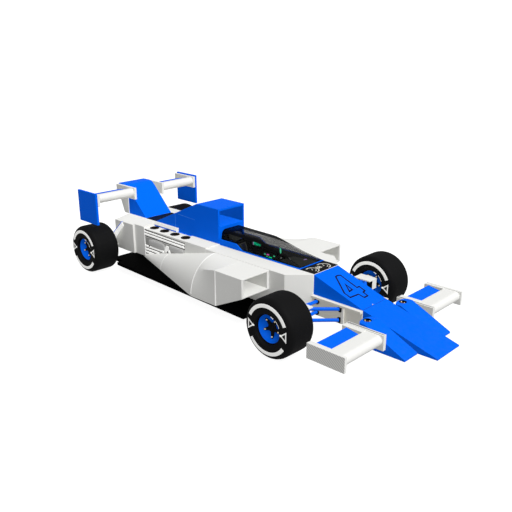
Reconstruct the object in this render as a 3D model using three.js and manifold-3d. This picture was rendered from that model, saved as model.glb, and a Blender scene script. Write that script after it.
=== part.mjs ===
// An open-wheel racing car with a closed canopy, as an assembly of named sub-parts.
// Millimetres, +Z up, +X forward, +Y to the car's left. The origin is on the ground, in the
// middle of the car's length and width. Each side's pieces are built once, for the left.
import * as THREE from "three";
import { mergeVertices } from "three/addons/utils/BufferGeometryUtils.js";
import Module from "manifold-3d";

const wasm = await Module();
wasm.setup();

// ---------------------------------------------------------------- driving dimensions
const GAP = 0.3; // left between pieces that touch
const RUNNING = 6; // clearance of what turns from what stands still
const PAST = 1; // how far a cutting tool runs past the face it opens
const FINE = 40; // sides of the large round pieces
const COARSE = 16; // and of the small ones

// Wheels and axles
const FRONT_AXLE_X = 1122;
const REAR_AXLE_X = -2102;
const FRONT_WHEEL_Y = 802; // centre plane of a front tyre
const TYRE_RADIUS = 294;
const TYRE_WIDTH = 343;
const TYRE_SHOULDER = 64; // radius of the rounded shoulder
const RIM_RADIUS = 146;
const RIM_WALL = 14;
const RIM_RECESS = 30; // outer rim edge, inboard of the tyre's outer face
const SPOKE_COUNT = 5;
const SPOKE_WIDTH = 34;
const SPOKE_THICKNESS = 26;
const HUB_RADIUS = 46;
const HUB_LENGTH = 120;
const SPOKE_RECESS = 70; // of the spokes and the hub's face, from the rim's outer edge
const HUB_FACE_RECESS = 30;
const BORE_RADIUS = 27;
const AXLE_RADIUS = BORE_RADIUS - 0.6;
const AXLE_REACH = 96; // of an axle's end beyond the tyre's centre plane

// Tub: the monocoque around the cockpit
const TUB_FRONT_X = 1022;
const TUB_REAR_X = -338;
const TUB_HALF_WIDTH = 400;
const TUB_NOSE_HALF_WIDTH = 200; // at its front end, after the chamfer
const TUB_CHAMFER_X = 821; // where the chamfer starts
const TUB_BOTTOM_Z = 210;
const DECK_Z = 594;
const COCKPIT_FRONT_X = 822;
const COCKPIT_REAR_X = -318;
const COCKPIT_HALF_WIDTH = 160;
const COCKPIT_FLOOR_Z = 245;

// Cockpit fittings
const STRIP_HALF_WIDTH = 190; // of the strip around the opening
const STRIP_FRONT_X = 840;
const STRIP_HEIGHT = 11;
const SHOULDER_WIDTH = 13; // raised sides of the strip, behind the driver
const SHOULDER_TOP_Z = DECK_Z + 68;
const SHOULDER_KNEE_X = -72;
const SHOULDER_FRONT_X = 20;
const DASH_THICKNESS = 6;
const DASH_INSET = 12; // of its side edges from the tub's
const CANOPY_HEIGHT = 160; // above the cockpit strip, at its rear end
const CANOPY_WALL = 7;
const CANOPY_HALF_WIDTH = 169; // at its foot
const CANOPY_LEAN = 16; // of each side, inwards at the top
const CANOPY_REAR_X = -333;
const CANOPY_FRONT_X = 834;
const CANOPY_FRONT_HEIGHT = 9;
const CANOPY_KNEE_X = 235; // where the level roof turns down to the front
const CANOPY_KNEE_DROP = 8;
const CANOPY_ROUND = 58; // radius along its top edges
const SEAT_HALF_WIDTH = 148;
const SEAT_REAR_X = -290;
const SEAT_FRONT_X = 330;
const SEAT_HIP_X = -120; // where the seat's bottom meets its back
const SEAT_FRONT_RISE = 90;
const SEAT_WALL = 30;
const SEAT_BACK_Z = DECK_Z + 6;
const HEADREST_RADIUS = 104;
const HEADREST_Z = DECK_Z + 16;
const HEADREST_LENGTH = 70;
const STEERING_X = 395;
const STEERING_Z = DECK_Z - 74;
const STEERING_RADIUS = 105;
const STEERING_GRIP = 13; // radius of the rim's section
const STEERING_SPOKE = 44;
const STEERING_PLATE = 14;
const STEERING_RAKE = THREE.MathUtils.degToRad(22); // column, up from level
const COLUMN_RADIUS = 14;
const COLUMN_SEAT = 30; // how deep the column stands in the tub's front wall

// Keel under the nose, with its ledge
const KEEL_FRONT_X = 1600;
const KEEL_STEP_X = 1400; // behind this it is wider
const KEEL_HALF_WIDTH = 215;
const KEEL_FRONT_HALF_WIDTH = 185;
const KEEL_BOTTOM_Z = 188;
const LEG_UPPER_Z = TYRE_RADIUS + 42; // where the wishbone legs enter its sides
const LEG_LOWER_Z = TYRE_RADIUS - 72;
const LEDGE_TOP_Z = LEG_UPPER_Z + 49;
const LEDGE_THICKNESS = 24;
const LEDGE_HALF_WIDTH = KEEL_HALF_WIDTH + 19;
const PICKUP_RADIUS = 29; // sockets that take the wishbone legs
const PICKUP_DEPTH = 30;
const PLUG_RECESS = 4; // of a leg's plug below the keel's side

// Nose cone and nose tip
const NOSE_HALF_WIDTH = 194;
const NOSE_START_Z = DECK_Z - 2;
const SEAM_X = 1612;
const SEAM_EDGE = 8; // height of the cone's thin front edge
const NOSE_TIP_X = 2396;
const NOSE_TIP_Z = 172;
const NOSE_TIP_EDGE = 12;
const NOSE_BOTTOM_Z = 152;
const FLANK_HOLE_X = 1735;
const FLANK_END = 48; // length of the rounded rear end, behind the hole's centre
const FLANK_KNEE_X = 1780;
const FLANK_TOP_Z = 366;
const FLANK_FRONT_X = 2200;
const FLANK_FRONT_Z = 168;
const FLANK_HALF_WIDTH = 399;
const FLANK_HOLE_RADIUS = 38;
const FLANK_HOLE_DEPTH = 120;

// Front wing
const FRONT_WING_HALF_SPAN = 997;
const FRONT_WING_REAR_X = 1603;
const FRONT_WING_FRONT_X = 2004;
const FRONT_WING_TOP_Z = 347;
const FRONT_WING_BOTTOM_Z = 201;
const ENDPLATE_THICKNESS = 30;
const FRONT_ROOT_WIDTH = 40; // the inner endplate
const FRONT_PLANE_FRONT_X = 1990;
const FRONT_PLANE_REAR_X = 1816;
const FRONT_PLANE_TOP_Z = 338;
const FRONT_PLANE_DEPTH = 104;
const FRONT_ARM_INNER = 60; // width of the arm beside the flap, at the root
const FRONT_ARM_OUTER = 32;
const FRONT_ARM_BOTTOM_Z = 290;
const FRONT_ARM_DROP = 4; // of the arms' top below the inner endplate's
const FLAP_THICKNESS = 22;
const FRONT_FLAP_REAR_X = 1652;
const FRONT_FLAP_DROP = 30; // of its front edge below its rear edge

// Sidepods
const POD_FRONT_X = 613;
const POD_JOINT_X = 233; // between the inlet box and the rounded body
const POD_HALF_WIDTH = 785;
const POD_TOP_Z = DECK_Z - 4;
const INLET_WALL = 28;
const INLET_LIP = 16; // thickness of its roof
const INLET_FLOOR_Z = 402;
const INLET_DEPTH = 340;
const INLET_SILL_Z = 386; // lower edge of its front face
const INLET_HEEL_Z = 206; // and of its joint with the body
const POD_ROUND_X = -170; // here the section has become a quarter round
const POD_ROUND_WIDTH = 368;
const POD_ROUND_BOTTOM_Z = 195;
const POD_TAIL_X = -1445;
const POD_TAIL_WIDTH = 24;
const POD_TAIL_BOTTOM_Z = 252;
const POD_TAIL_TOP_Z = 284;

// Rear body
const REAR_BODY_REAR_X = -2030;
const REAR_BODY_HALF_WIDTH = TUB_HALF_WIDTH;
const REAR_WHEEL_Y = REAR_BODY_HALF_WIDTH + 294; // centre plane of a rear tyre
const REAR_BODY_BOTTOM_Z = 252;
const REAR_DECK_Z = DECK_Z + 12;
const REAR_BODY_WALL = 28;
const REAR_PANEL_X = -1650; // behind this the sides stand proud
const REAR_PANEL_STEP = 28;
const REAR_RAMP_X = -1460; // behind this the deck slopes up to the spine
const REAR_SHOULDER_Z = REAR_DECK_Z + 11; // outer edge of that slope
const SPINE_Z = REAR_DECK_Z + 44; // raised strip that carries the cover and the pylon
const SPINE_HALF_WIDTH = 240;
const SPINE_FRONT_X = -1042;

// Engine and its cover
const COVER_HALF_WIDTH = 200;
const COVER_TOP_Z = 1003;
const COVER_FLAT_REAR_X = -706; // end of the level top
const COVER_REAR_X = -1480;
const COVER_WALL = 22;
const COVER_BAY_CLEAR = 110; // of the bay's rear end from the slope's foot
const AIRBOX_FLOOR_Z = 802;
const AIRBOX_DEPTH = 430;
const ENGINE_LENGTH = 620;
const ENGINE_HALF_WIDTH = 250;
const ENGINE_HEIGHT = REAR_DECK_Z - TUB_BOTTOM_Z - 66; // leaves room below the deck

// Exhausts: round outlets in a row on each side of the cover
const EXHAUST_FIRST_X = -787;
const EXHAUST_PITCH = -195;
const EXHAUST_COUNT = 4;
const EXHAUST_Y = 305;
const EXHAUST_RADIUS = 46;
const EXHAUST_BORE = 36;
const EXHAUST_LOG_DEPTH = 70;

// Floor
const FLOOR_BOTTOM_Z = 100;
const FLOOR_THICKNESS = 36;
const FLOOR_FRONT_X = 505;
const FLOOR_FRONT_HALF_WIDTH = 657;
const FLOOR_NARROW_X = -1775; // narrower behind this, between the rear tyres
const FLOOR_NARROW_HALF_WIDTH = 596;
const FLOOR_REAR_X = -2000;
const FLOOR_REAR_HALF_WIDTH = 480;
const STAND_HALF_WIDTH = 150; // of the block that stands the bodies on the floor

// Rear wing and its pylon
const REAR_WING_HALF_SPAN = 795;
const REAR_WING_REAR_X = -2241;
const REAR_WING_FRONT_X = -1850;
const REAR_WING_TOP_Z = 1029;
const REAR_WING_BOTTOM_Z = 2 * TYRE_RADIUS + 53; // clear of the tyre
const REAR_PLATE_WIDTH = 34; // each of the wing's own end plates
const REAR_PLATE_TOP_Z = 1012;
const REAR_PLATE_BOTTOM_Z = 866;
const REAR_PLANE_TOP_Z = 1002;
const REAR_PLANE_DEPTH = 104;
const REAR_PLANE_DROP = 16; // of its top from the leading edge to the rear
const REAR_PLANE_REAR_X = -1996;
const REAR_PLANE_SETBACK = 4;
const REAR_FLAP_DROP = 48;
const PYLON_HALF_WIDTH = 200;
const PYLON_TOP_Z = 1020;
const PYLON_TOP_FRONT_X = -2057;
const PYLON_FOOT_X = -1680;
const PYLON_LOWER_REAR_X = -2034;
const PYLON_ROUND = 0.86; // share of its front face that is straight, below the round
const FAIRING_HALF_WIDTH = 208;
const FAIRING_FOOT_X = -2128;
const FAIRING_TOP_X = -2222;

// Suspension
const KINGPIN_Y = 545; // the upright axis that a front wheel steers about
const UPPER_JOINT_Z = TYRE_RADIUS + 74; // heights here are from the axles
const LOWER_JOINT_Z = TYRE_RADIUS - 44;
const LEG_RADIUS = 15;
const BOSS_RADIUS = 25; // outboard end of a wishbone, on the kingpin axis
const BOSS_HALF_HEIGHT = 20;
const KNUCKLE_TOP_Z = UPPER_JOINT_Z + BOSS_HALF_HEIGHT + 12;
const KNUCKLE_LUG_Z = LOWER_JOINT_Z - BOSS_HALF_HEIGHT - 18; // underside of the lower lug
const KNUCKLE_POST_HALF_LENGTH = 32;
const KNUCKLE_REAR_X = 1040;
const KNUCKLE_FRONT_X = 1236;
const KNUCKLE_INNER_Y = 460;
const KNUCKLE_OUTER_Y = 592;
const KNUCKLE_LEG_INNER_Y = 516;
const KNUCKLE_LEG_BOTTOM_Z = TYRE_RADIUS - 4;
const KNUCKLE_LEG_THICKNESS = 22;
const REAR_ARM_X = -1910; // where the rear arms leave the body
const REAR_ARM_CHORD = 62;
const REAR_ARM_THICKNESS = 26;
const REAR_PAD = 34; // half size of the pad at each arm's root
const REAR_PAD_THICKNESS = 20;
const REAR_ARMS = [
  { wallZ: REAR_DECK_Z - 40, jointZ: TYRE_RADIUS + 146 },
  { wallZ: 310, jointZ: TYRE_RADIUS - 74 },
];
const UPRIGHT_HALF_LENGTH = 36;
const UPRIGHT_THICKNESS = 38;
const UPRIGHT_BOTTOM_Z = TYRE_RADIUS - 114;
const UPRIGHT_TOP_Z = TYRE_RADIUS + 176;
const LEG_FRONT_X = 1366; // where the front and rear legs enter the keel
const LEG_REAR_X = 1086;

// ---------------------------------------------------------------- materials
const material = (color, roughness, metalness = 0) =>
  new THREE.MeshStandardMaterial({ color, roughness, metalness });
const paint = {
  blue: () => material(0x0a5cf0, 0.35),
  white: () => material(0xf1f0ec, 0.4),
  black: () => material(0x0c0c0d, 0.6),
  tyre: () => material(0x151516, 0.85),
  dark: () => material(0x1d1e20, 0.5),
  steel: () => material(0x8d9094, 0.35, 0.9),
  glass: () => material(0x30343a, 0.08),
};

// ---------------------------------------------------------------- shape helpers
// A closed mesh as a solid that can be cut and joined.
function solid(geometry) {
  const bare = geometry.clone();
  bare.deleteAttribute("normal");
  bare.deleteAttribute("uv");
  const merged = mergeVertices(bare, 1e-4);
  return new wasm.Manifold(
    new wasm.Mesh({
      numProp: 3,
      vertProperties: merged.attributes.position.array,
      triVerts: new Uint32Array(merged.index.array),
    }),
  );
}

function geometryOf(made) {
  const mesh = made.getMesh();
  const geometry = new THREE.BufferGeometry();
  geometry.setAttribute("position", new THREE.BufferAttribute(mesh.vertProperties, 3));
  geometry.setIndex(new THREE.BufferAttribute(mesh.triVerts, 1));
  geometry.computeVertexNormals();
  return geometry;
}

const unite = (...solids) => solids.reduce((all, next) => all.add(next));
const cut = (body, ...tools) => tools.reduce((left, tool) => left.subtract(tool), body);

const box = (x0, x1, y0, y1, z0, z1) =>
  solid(
    new THREE.BoxGeometry(x1 - x0, y1 - y0, z1 - z0).translate(
      (x0 + x1) / 2,
      (y0 + y1) / 2,
      (z0 + z1) / 2,
    ),
  );

const shapeOf = (outline) =>
  outline instanceof THREE.Shape
    ? outline
    : new THREE.Shape(outline.map(([a, b]) => new THREE.Vector2(a, b)));

const extrude = (outline, depth, curveSegments = 12) =>
  new THREE.ExtrudeGeometry(shapeOf(outline), { depth, bevelEnabled: false, curveSegments });

// A side view, given as (x, z), as thick as from y0 to y1.
const sideView = (outline, y0, y1, curveSegments) =>
  solid(extrude(outline, y1 - y0, curveSegments).rotateX(Math.PI / 2).translate(0, y1, 0));

// A plan, given as (x, y), from z0 up to z1.
const plan = (outline, z0, z1, curveSegments) =>
  solid(extrude(outline, z1 - z0, curveSegments).translate(0, 0, z0));

// A round bar from one point to another.
function bar(from, to, radius, sides = COARSE) {
  const start = new THREE.Vector3(...from);
  const axis = new THREE.Vector3(...to).sub(start);
  const turn = new THREE.Quaternion().setFromUnitVectors(
    new THREE.Vector3(0, 1, 0),
    axis.clone().normalize(),
  );
  const middle = start.addScaledVector(axis, 0.5);
  return solid(
    new THREE.CylinderGeometry(radius, radius, axis.length(), sides)
      .applyQuaternion(turn)
      .translate(middle.x, middle.y, middle.z),
  );
}

// A round profile, given as (radius, y), turned about the Y axis.
const turned = (profile, sides = FINE) =>
  solid(
    new THREE.LatheGeometry(
      profile.map(([radius, y]) => new THREE.Vector2(radius, y)),
      sides,
    ),
  );

// Joins sections of as many points each into one closed skin with flat ends.
function loft(sections) {
  const count = sections[0].length;
  const position = sections.flat(2);
  const index = [];
  for (let k = 0; k + 1 < sections.length; k++) {
    for (let i = 0; i < count; i++) {
      const a = k * count + i;
      const b = k * count + ((i + 1) % count);
      index.push(a, b, b + count, a, b + count, a + count);
    }
  }
  const last = (sections.length - 1) * count;
  for (let i = 1; i + 1 < count; i++) {
    index.push(0, i + 1, i, last, last + i, last + i + 1);
  }
  const geometry = new THREE.BufferGeometry();
  geometry.setAttribute("position", new THREE.Float32BufferAttribute(position, 3));
  geometry.setIndex(index);
  return solid(geometry);
}

// ---------------------------------------------------------------- assembly
const car = new THREE.Group();
const left = new THREE.Group();
const right = new THREE.Group();
right.scale.y = -1;
car.add(left, right);

function add(parent, name, made, finish) {
  const mesh = new THREE.Mesh(geometryOf(made), finish());
  mesh.name = name;
  parent.add(mesh);
  return mesh;
}

// One piece of each side: the same solid, mirrored for the right.
function addPair(name, made, finish) {
  add(left, `${name}_left`, made, finish);
  add(right, `${name}_right`, made, finish);
}

// ---------------------------------------------------------------- tub and cockpit
function tub() {
  const outline = [
    [TUB_REAR_X, -TUB_HALF_WIDTH],
    [TUB_CHAMFER_X, -TUB_HALF_WIDTH],
    [TUB_FRONT_X, -TUB_NOSE_HALF_WIDTH],
    [TUB_FRONT_X, TUB_NOSE_HALF_WIDTH],
    [TUB_CHAMFER_X, TUB_HALF_WIDTH],
    [TUB_REAR_X, TUB_HALF_WIDTH],
  ];
  const opening = box(
    COCKPIT_REAR_X,
    COCKPIT_FRONT_X,
    -COCKPIT_HALF_WIDTH,
    COCKPIT_HALF_WIDTH,
    COCKPIT_FLOOR_Z,
    DECK_Z + PAST,
  );
  return cut(plan(outline, TUB_BOTTOM_Z, DECK_Z), opening, column(COLUMN_SEAT, GAP));
}

// The steering column, from the wheel to as far as into the cockpit's front wall.
function column(intoWall, clearance) {
  const run = COCKPIT_FRONT_X + intoWall - STEERING_X;
  const end = [STEERING_X + run, 0, STEERING_Z - run * Math.tan(STEERING_RAKE)];
  return bar([STEERING_X, 0, STEERING_Z], end, COLUMN_RADIUS + clearance);
}
add(car, "tub", tub(), paint.white);

const STRIP_BOTTOM_Z = DECK_Z + GAP;
const STRIP_TOP_Z = DECK_Z + STRIP_HEIGHT;
const STRIP_REAR_X = TUB_REAR_X + GAP;

// The strip around the opening, with its raised sides behind the driver.
function cockpitRim() {
  const strip = box(
    STRIP_REAR_X,
    STRIP_FRONT_X,
    -STRIP_HALF_WIDTH,
    STRIP_HALF_WIDTH,
    STRIP_BOTTOM_Z,
    STRIP_TOP_Z,
  );
  const opening = box(
    COCKPIT_REAR_X,
    COCKPIT_FRONT_X,
    -COCKPIT_HALF_WIDTH,
    COCKPIT_HALF_WIDTH,
    DECK_Z,
    STRIP_TOP_Z + PAST,
  );
  const outline = [
    [STRIP_REAR_X, STRIP_BOTTOM_Z],
    [SHOULDER_FRONT_X, STRIP_BOTTOM_Z],
    [SHOULDER_FRONT_X, STRIP_TOP_Z],
    [SHOULDER_KNEE_X, SHOULDER_TOP_Z],
    [STRIP_REAR_X, SHOULDER_TOP_Z],
  ];
  const inner = STRIP_HALF_WIDTH - SHOULDER_WIDTH;
  return unite(
    cut(strip, opening),
    sideView(outline, inner, STRIP_HALF_WIDTH),
    sideView(outline, -STRIP_HALF_WIDTH, -inner),
  );
}
add(car, "cockpit_rim", cockpitRim(), paint.blue);

const DASH_HALF_WIDTH = TUB_NOSE_HALF_WIDTH - DASH_INSET;
add(
  car,
  "dash_panel",
  box(
    STRIP_FRONT_X + GAP,
    TUB_FRONT_X,
    -DASH_HALF_WIDTH,
    DASH_HALF_WIDTH,
    DECK_Z + GAP,
    DECK_Z + DASH_THICKNESS,
  ),
  paint.black,
);

// A bucket seat with a round headrest at the top of its back.
function seat() {
  const bottom = COCKPIT_FLOOR_Z + GAP;
  const shell = sideView(
    [
      [SEAT_REAR_X, bottom],
      [SEAT_FRONT_X, bottom],
      [SEAT_FRONT_X, bottom + SEAT_FRONT_RISE],
      [SEAT_HIP_X, bottom + SEAT_WALL],
      [SEAT_REAR_X + SEAT_WALL, SEAT_BACK_Z],
      [SEAT_REAR_X, SEAT_BACK_Z],
    ],
    -SEAT_HALF_WIDTH,
    SEAT_HALF_WIDTH,
  );
  const headrest = bar(
    [SEAT_REAR_X, 0, HEADREST_Z],
    [SEAT_REAR_X + HEADREST_LENGTH, 0, HEADREST_Z],
    HEADREST_RADIUS,
    FINE,
  );
  return unite(shell, headrest);
}
add(car, "seat", seat(), paint.black);

// A wheel on its column, which runs in the cockpit's front wall.
function steeringWheel() {
  const half = STEERING_SPOKE / 2;
  const face = STEERING_PLATE / 2;
  const wheel = unite(
    solid(new THREE.TorusGeometry(STEERING_RADIUS, STEERING_GRIP, 8, 28)),
    box(-half, half, -STEERING_RADIUS, STEERING_RADIUS, -face, face),
    box(-STEERING_RADIUS, 0, -half, half, -face, face),
  );
  const turnedWheel = geometryOf(wheel).rotateY(STEERING_RAKE - Math.PI / 2);
  return unite(
    solid(turnedWheel.translate(STEERING_X, 0, STEERING_Z)),
    column(COLUMN_SEAT - GAP, 0),
  );
}
add(car, "steering_wheel", steeringWheel(), paint.dark);

// One section of the canopy: an arch with leaning sides and rounded shoulders.
function canopySection(x, height, inset) {
  const foot = CANOPY_HALF_WIDTH - inset;
  const top = height - inset;
  const lean = (CANOPY_LEAN * height) / CANOPY_HEIGHT;
  const round = Math.min(CANOPY_ROUND, top * 0.9);
  const centreY = foot - lean - round;
  const base = STRIP_TOP_Z + GAP;
  const steps = 5;
  const half = Array.from({ length: steps + 1 }, (_, i) => {
    const angle = (i / steps) * (Math.PI / 2);
    return [centreY + round * Math.cos(angle), base + top - round * (1 - Math.sin(angle))];
  });
  const low = inset > 0 ? base - PAST : base;
  const leftSide = [[foot, low], ...half];
  const rightSide = leftSide.map(([y, z]) => [-y, z]).reverse();
  return [...leftSide, ...rightSide].map(([y, z]) => [x, y, z]);
}

// A glazed shell, open below and at the rear.
function canopy() {
  const skin = (inset) =>
    loft([
      canopySection(CANOPY_REAR_X - (inset > 0 ? PAST : 0), CANOPY_HEIGHT, inset),
      canopySection(CANOPY_KNEE_X, CANOPY_HEIGHT - CANOPY_KNEE_DROP, inset),
      canopySection(CANOPY_FRONT_X - 3 * inset, CANOPY_FRONT_HEIGHT + inset, inset),
    ]);
  return cut(skin(0), skin(CANOPY_WALL));
}
add(car, "canopy", canopy(), paint.glass);

// ---------------------------------------------------------------- keel, nose cone, nose tip
const LEG_ROOTS = [LEG_FRONT_X, LEG_REAR_X];

function keel() {
  const rear = TUB_FRONT_X + GAP;
  const block = (x1, half) => box(rear, x1, -half, half, KEEL_BOTTOM_Z, LEDGE_TOP_Z - PAST);
  const ledge = box(
    rear,
    SEAM_X,
    -LEDGE_HALF_WIDTH,
    LEDGE_HALF_WIDTH,
    LEDGE_TOP_Z - LEDGE_THICKNESS,
    LEDGE_TOP_Z,
  );
  const body = unite(
    block(KEEL_STEP_X, KEEL_HALF_WIDTH),
    block(KEEL_FRONT_X, KEEL_FRONT_HALF_WIDTH),
    ledge,
  );
  const sockets = [LEG_UPPER_Z, LEG_LOWER_Z].flatMap((z) =>
    LEG_ROOTS.flatMap((x) =>
      [1, -1].map((side) =>
        bar(
          [x, side * (KEEL_HALF_WIDTH - PICKUP_DEPTH), z],
          [x, side * (LEDGE_HALF_WIDTH + PAST), z],
          PICKUP_RADIUS,
        ),
      ),
    ),
  );
  return cut(body, ...sockets);
}
add(car, "keel", keel(), paint.white);

const CONE_BOTTOM_Z = LEDGE_TOP_Z + GAP;
const SEAM_TOP_Z = CONE_BOTTOM_Z + SEAM_EDGE;

function noseCone() {
  const rear = TUB_FRONT_X + GAP;
  const outline = [
    [rear, CONE_BOTTOM_Z],
    [SEAM_X, CONE_BOTTOM_Z],
    [SEAM_X, SEAM_TOP_Z],
    [rear, NOSE_START_Z],
  ];
  return sideView(outline, -NOSE_HALF_WIDTH, NOSE_HALF_WIDTH);
}
add(car, "nose_cone", noseCone(), paint.blue);

// The blade in the middle with a lower, shorter flank on each side, round at its rear end.
function noseTip() {
  const rear = SEAM_X + GAP;
  const blade = sideView(
    [
      [rear, NOSE_BOTTOM_Z],
      [NOSE_TIP_X, NOSE_TIP_Z - NOSE_TIP_EDGE],
      [NOSE_TIP_X, NOSE_TIP_Z],
      [rear, SEAM_TOP_Z],
    ],
    -NOSE_HALF_WIDTH,
    NOSE_HALF_WIDTH,
  );
  const half = (FLANK_HALF_WIDTH - NOSE_HALF_WIDTH) / 2;
  const flankRear = FLANK_HOLE_X - FLANK_END;
  const flank = (side) => {
    const y = side * (NOSE_HALF_WIDTH + half);
    const profile = sideView(
      [
        [flankRear, NOSE_BOTTOM_Z],
        [FLANK_FRONT_X, NOSE_BOTTOM_Z],
        [FLANK_FRONT_X, FLANK_FRONT_Z],
        [FLANK_KNEE_X, FLANK_TOP_Z],
        [flankRear, FLANK_TOP_Z],
      ],
      y - half - PAST,
      y + half + PAST,
    );
    const seen = new THREE.Shape();
    seen.moveTo(FLANK_FRONT_X + PAST, y - half);
    seen.lineTo(FLANK_FRONT_X + PAST, y + half);
    seen.absellipse(FLANK_HOLE_X, y, FLANK_END, half, Math.PI / 2, 1.5 * Math.PI, false, 0);
    const hole = bar(
      [FLANK_HOLE_X, y, FLANK_TOP_Z - FLANK_HOLE_DEPTH],
      [FLANK_HOLE_X, y, FLANK_TOP_Z + PAST],
      FLANK_HOLE_RADIUS,
    );
    const outline = plan(seen, NOSE_BOTTOM_Z - PAST, FLANK_TOP_Z + PAST);
    return cut(profile.intersect(outline), hole);
  };
  return unite(blade, flank(1), flank(-1));
}
add(car, "nose_tip", noseTip(), paint.blue);

// ---------------------------------------------------------------- wings
// Side view of a plane with a half-round leading edge, its top falling by drop to the rear.
function planeOutline(rearX, frontX, topZ, depth, drop) {
  const radius = depth / 2;
  const shape = new THREE.Shape();
  shape.moveTo(rearX, topZ - depth);
  shape.lineTo(frontX - radius, topZ - depth);
  shape.absarc(frontX - radius, topZ - radius, radius, -Math.PI / 2, Math.PI / 2, false);
  shape.lineTo(rearX, topZ - drop);
  return shape;
}

const FRONT_ROOT_Y = FLANK_HALF_WIDTH + GAP;
const FRONT_ROOT_OUTER_Y = FRONT_ROOT_Y + FRONT_ROOT_WIDTH;
const FRONT_PLATE_Y = FRONT_WING_HALF_SPAN - ENDPLATE_THICKNESS;
const FRONT_FLAP_INNER_Y = FRONT_ROOT_OUTER_Y + FRONT_ARM_INNER;
const FRONT_FLAP_OUTER_Y = FRONT_PLATE_Y - FRONT_ARM_OUTER;

function frontWing() {
  const outer = FRONT_PLATE_Y - GAP;
  const armTop = FRONT_WING_TOP_Z - FRONT_ARM_DROP;
  const arm = (y0, y1) =>
    box(FRONT_WING_REAR_X, FRONT_PLANE_REAR_X + PAST, y0, y1, FRONT_ARM_BOTTOM_Z, armTop);
  const root = box(
    FRONT_WING_REAR_X,
    FRONT_WING_FRONT_X,
    FRONT_ROOT_Y,
    FRONT_ROOT_OUTER_Y,
    FRONT_WING_BOTTOM_Z,
    FRONT_WING_TOP_Z,
  );
  const outline = planeOutline(
    FRONT_PLANE_REAR_X,
    FRONT_PLANE_FRONT_X,
    FRONT_PLANE_TOP_Z,
    FRONT_PLANE_DEPTH,
    0,
  );
  return unite(
    root,
    sideView(outline, FRONT_ROOT_OUTER_Y - PAST, outer),
    arm(FRONT_ROOT_OUTER_Y - PAST, FRONT_FLAP_INNER_Y),
    arm(FRONT_FLAP_OUTER_Y, outer),
  );
}
addPair("front_wing", frontWing(), paint.white);

function frontFlap() {
  const front = FRONT_PLANE_REAR_X - GAP;
  const rearTop = FRONT_PLANE_TOP_Z;
  const frontTop = rearTop - FRONT_FLAP_DROP;
  return sideView(
    [
      [FRONT_FLAP_REAR_X, rearTop - FLAP_THICKNESS],
      [front, frontTop - FLAP_THICKNESS],
      [front, frontTop],
      [FRONT_FLAP_REAR_X, rearTop],
    ],
    FRONT_FLAP_INNER_Y + GAP,
    FRONT_FLAP_OUTER_Y - GAP,
  );
}
addPair("front_flap", frontFlap(), paint.blue);

addPair(
  "front_endplate",
  box(
    FRONT_WING_REAR_X,
    FRONT_WING_FRONT_X,
    FRONT_PLATE_Y,
    FRONT_WING_HALF_SPAN,
    FRONT_WING_BOTTOM_Z,
    FRONT_WING_TOP_Z,
  ),
  paint.white,
);

const REAR_ROOT_Y = PYLON_HALF_WIDTH + GAP;
const REAR_ENDPLATE_Y = REAR_WING_HALF_SPAN - ENDPLATE_THICKNESS;
const REAR_PLATE_OUTER_Y = REAR_ENDPLATE_Y - GAP - REAR_PLATE_WIDTH;

// The plane between its two end plates, in one moulding.
function rearWing() {
  const plate = (y0) =>
    box(
      REAR_WING_REAR_X,
      REAR_WING_FRONT_X,
      y0,
      y0 + REAR_PLATE_WIDTH,
      REAR_PLATE_BOTTOM_Z,
      REAR_PLATE_TOP_Z,
    );
  const outline = planeOutline(
    REAR_PLANE_REAR_X,
    REAR_WING_FRONT_X - REAR_PLANE_SETBACK,
    REAR_PLANE_TOP_Z,
    REAR_PLANE_DEPTH,
    REAR_PLANE_DROP,
  );
  return unite(
    plate(REAR_ROOT_Y),
    plate(REAR_PLATE_OUTER_Y),
    sideView(outline, REAR_ROOT_Y + REAR_PLATE_WIDTH - PAST, REAR_PLATE_OUTER_Y + PAST),
  );
}
addPair("rear_wing", rearWing(), paint.white);

function rearFlap() {
  const front = REAR_PLANE_REAR_X - GAP;
  const frontTop = REAR_PLANE_TOP_Z - REAR_PLANE_DROP;
  const rearTop = frontTop - REAR_FLAP_DROP;
  return sideView(
    [
      [REAR_WING_REAR_X, rearTop - FLAP_THICKNESS],
      [front, frontTop - FLAP_THICKNESS],
      [front, frontTop],
      [REAR_WING_REAR_X, rearTop],
    ],
    REAR_ROOT_Y + REAR_PLATE_WIDTH + GAP,
    REAR_PLATE_OUTER_Y - GAP,
  );
}
addPair("rear_flap", rearFlap(), paint.blue);

addPair(
  "rear_endplate",
  box(
    REAR_WING_REAR_X,
    REAR_WING_FRONT_X,
    REAR_ENDPLATE_Y,
    REAR_WING_HALF_SPAN,
    REAR_WING_BOTTOM_Z,
    REAR_WING_TOP_Z,
  ),
  paint.blue,
);

// The wing's support: a straight sloping front, rounded at the top.
function pylon() {
  const foot = SPINE_Z + GAP;
  const roundX = THREE.MathUtils.lerp(PYLON_FOOT_X, PYLON_TOP_FRONT_X, PYLON_ROUND);
  const roundZ = THREE.MathUtils.lerp(foot, PYLON_TOP_Z, PYLON_ROUND);
  const backX = 2 * PYLON_TOP_FRONT_X - roundX;
  const shape = new THREE.Shape();
  shape.moveTo(PYLON_LOWER_REAR_X, foot);
  shape.lineTo(PYLON_FOOT_X, foot);
  shape.lineTo(roundX, roundZ);
  shape.quadraticCurveTo(PYLON_TOP_FRONT_X, PYLON_TOP_Z, backX, PYLON_TOP_Z);
  shape.lineTo(REAR_WING_REAR_X, PYLON_TOP_Z);
  shape.lineTo(REAR_WING_REAR_X, REAR_PLATE_BOTTOM_Z);
  shape.lineTo(PYLON_LOWER_REAR_X, REAR_PLATE_BOTTOM_Z);
  return sideView(shape, -PYLON_HALF_WIDTH, PYLON_HALF_WIDTH, 6);
}
add(car, "wing_pylon", pylon(), paint.blue);

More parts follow.
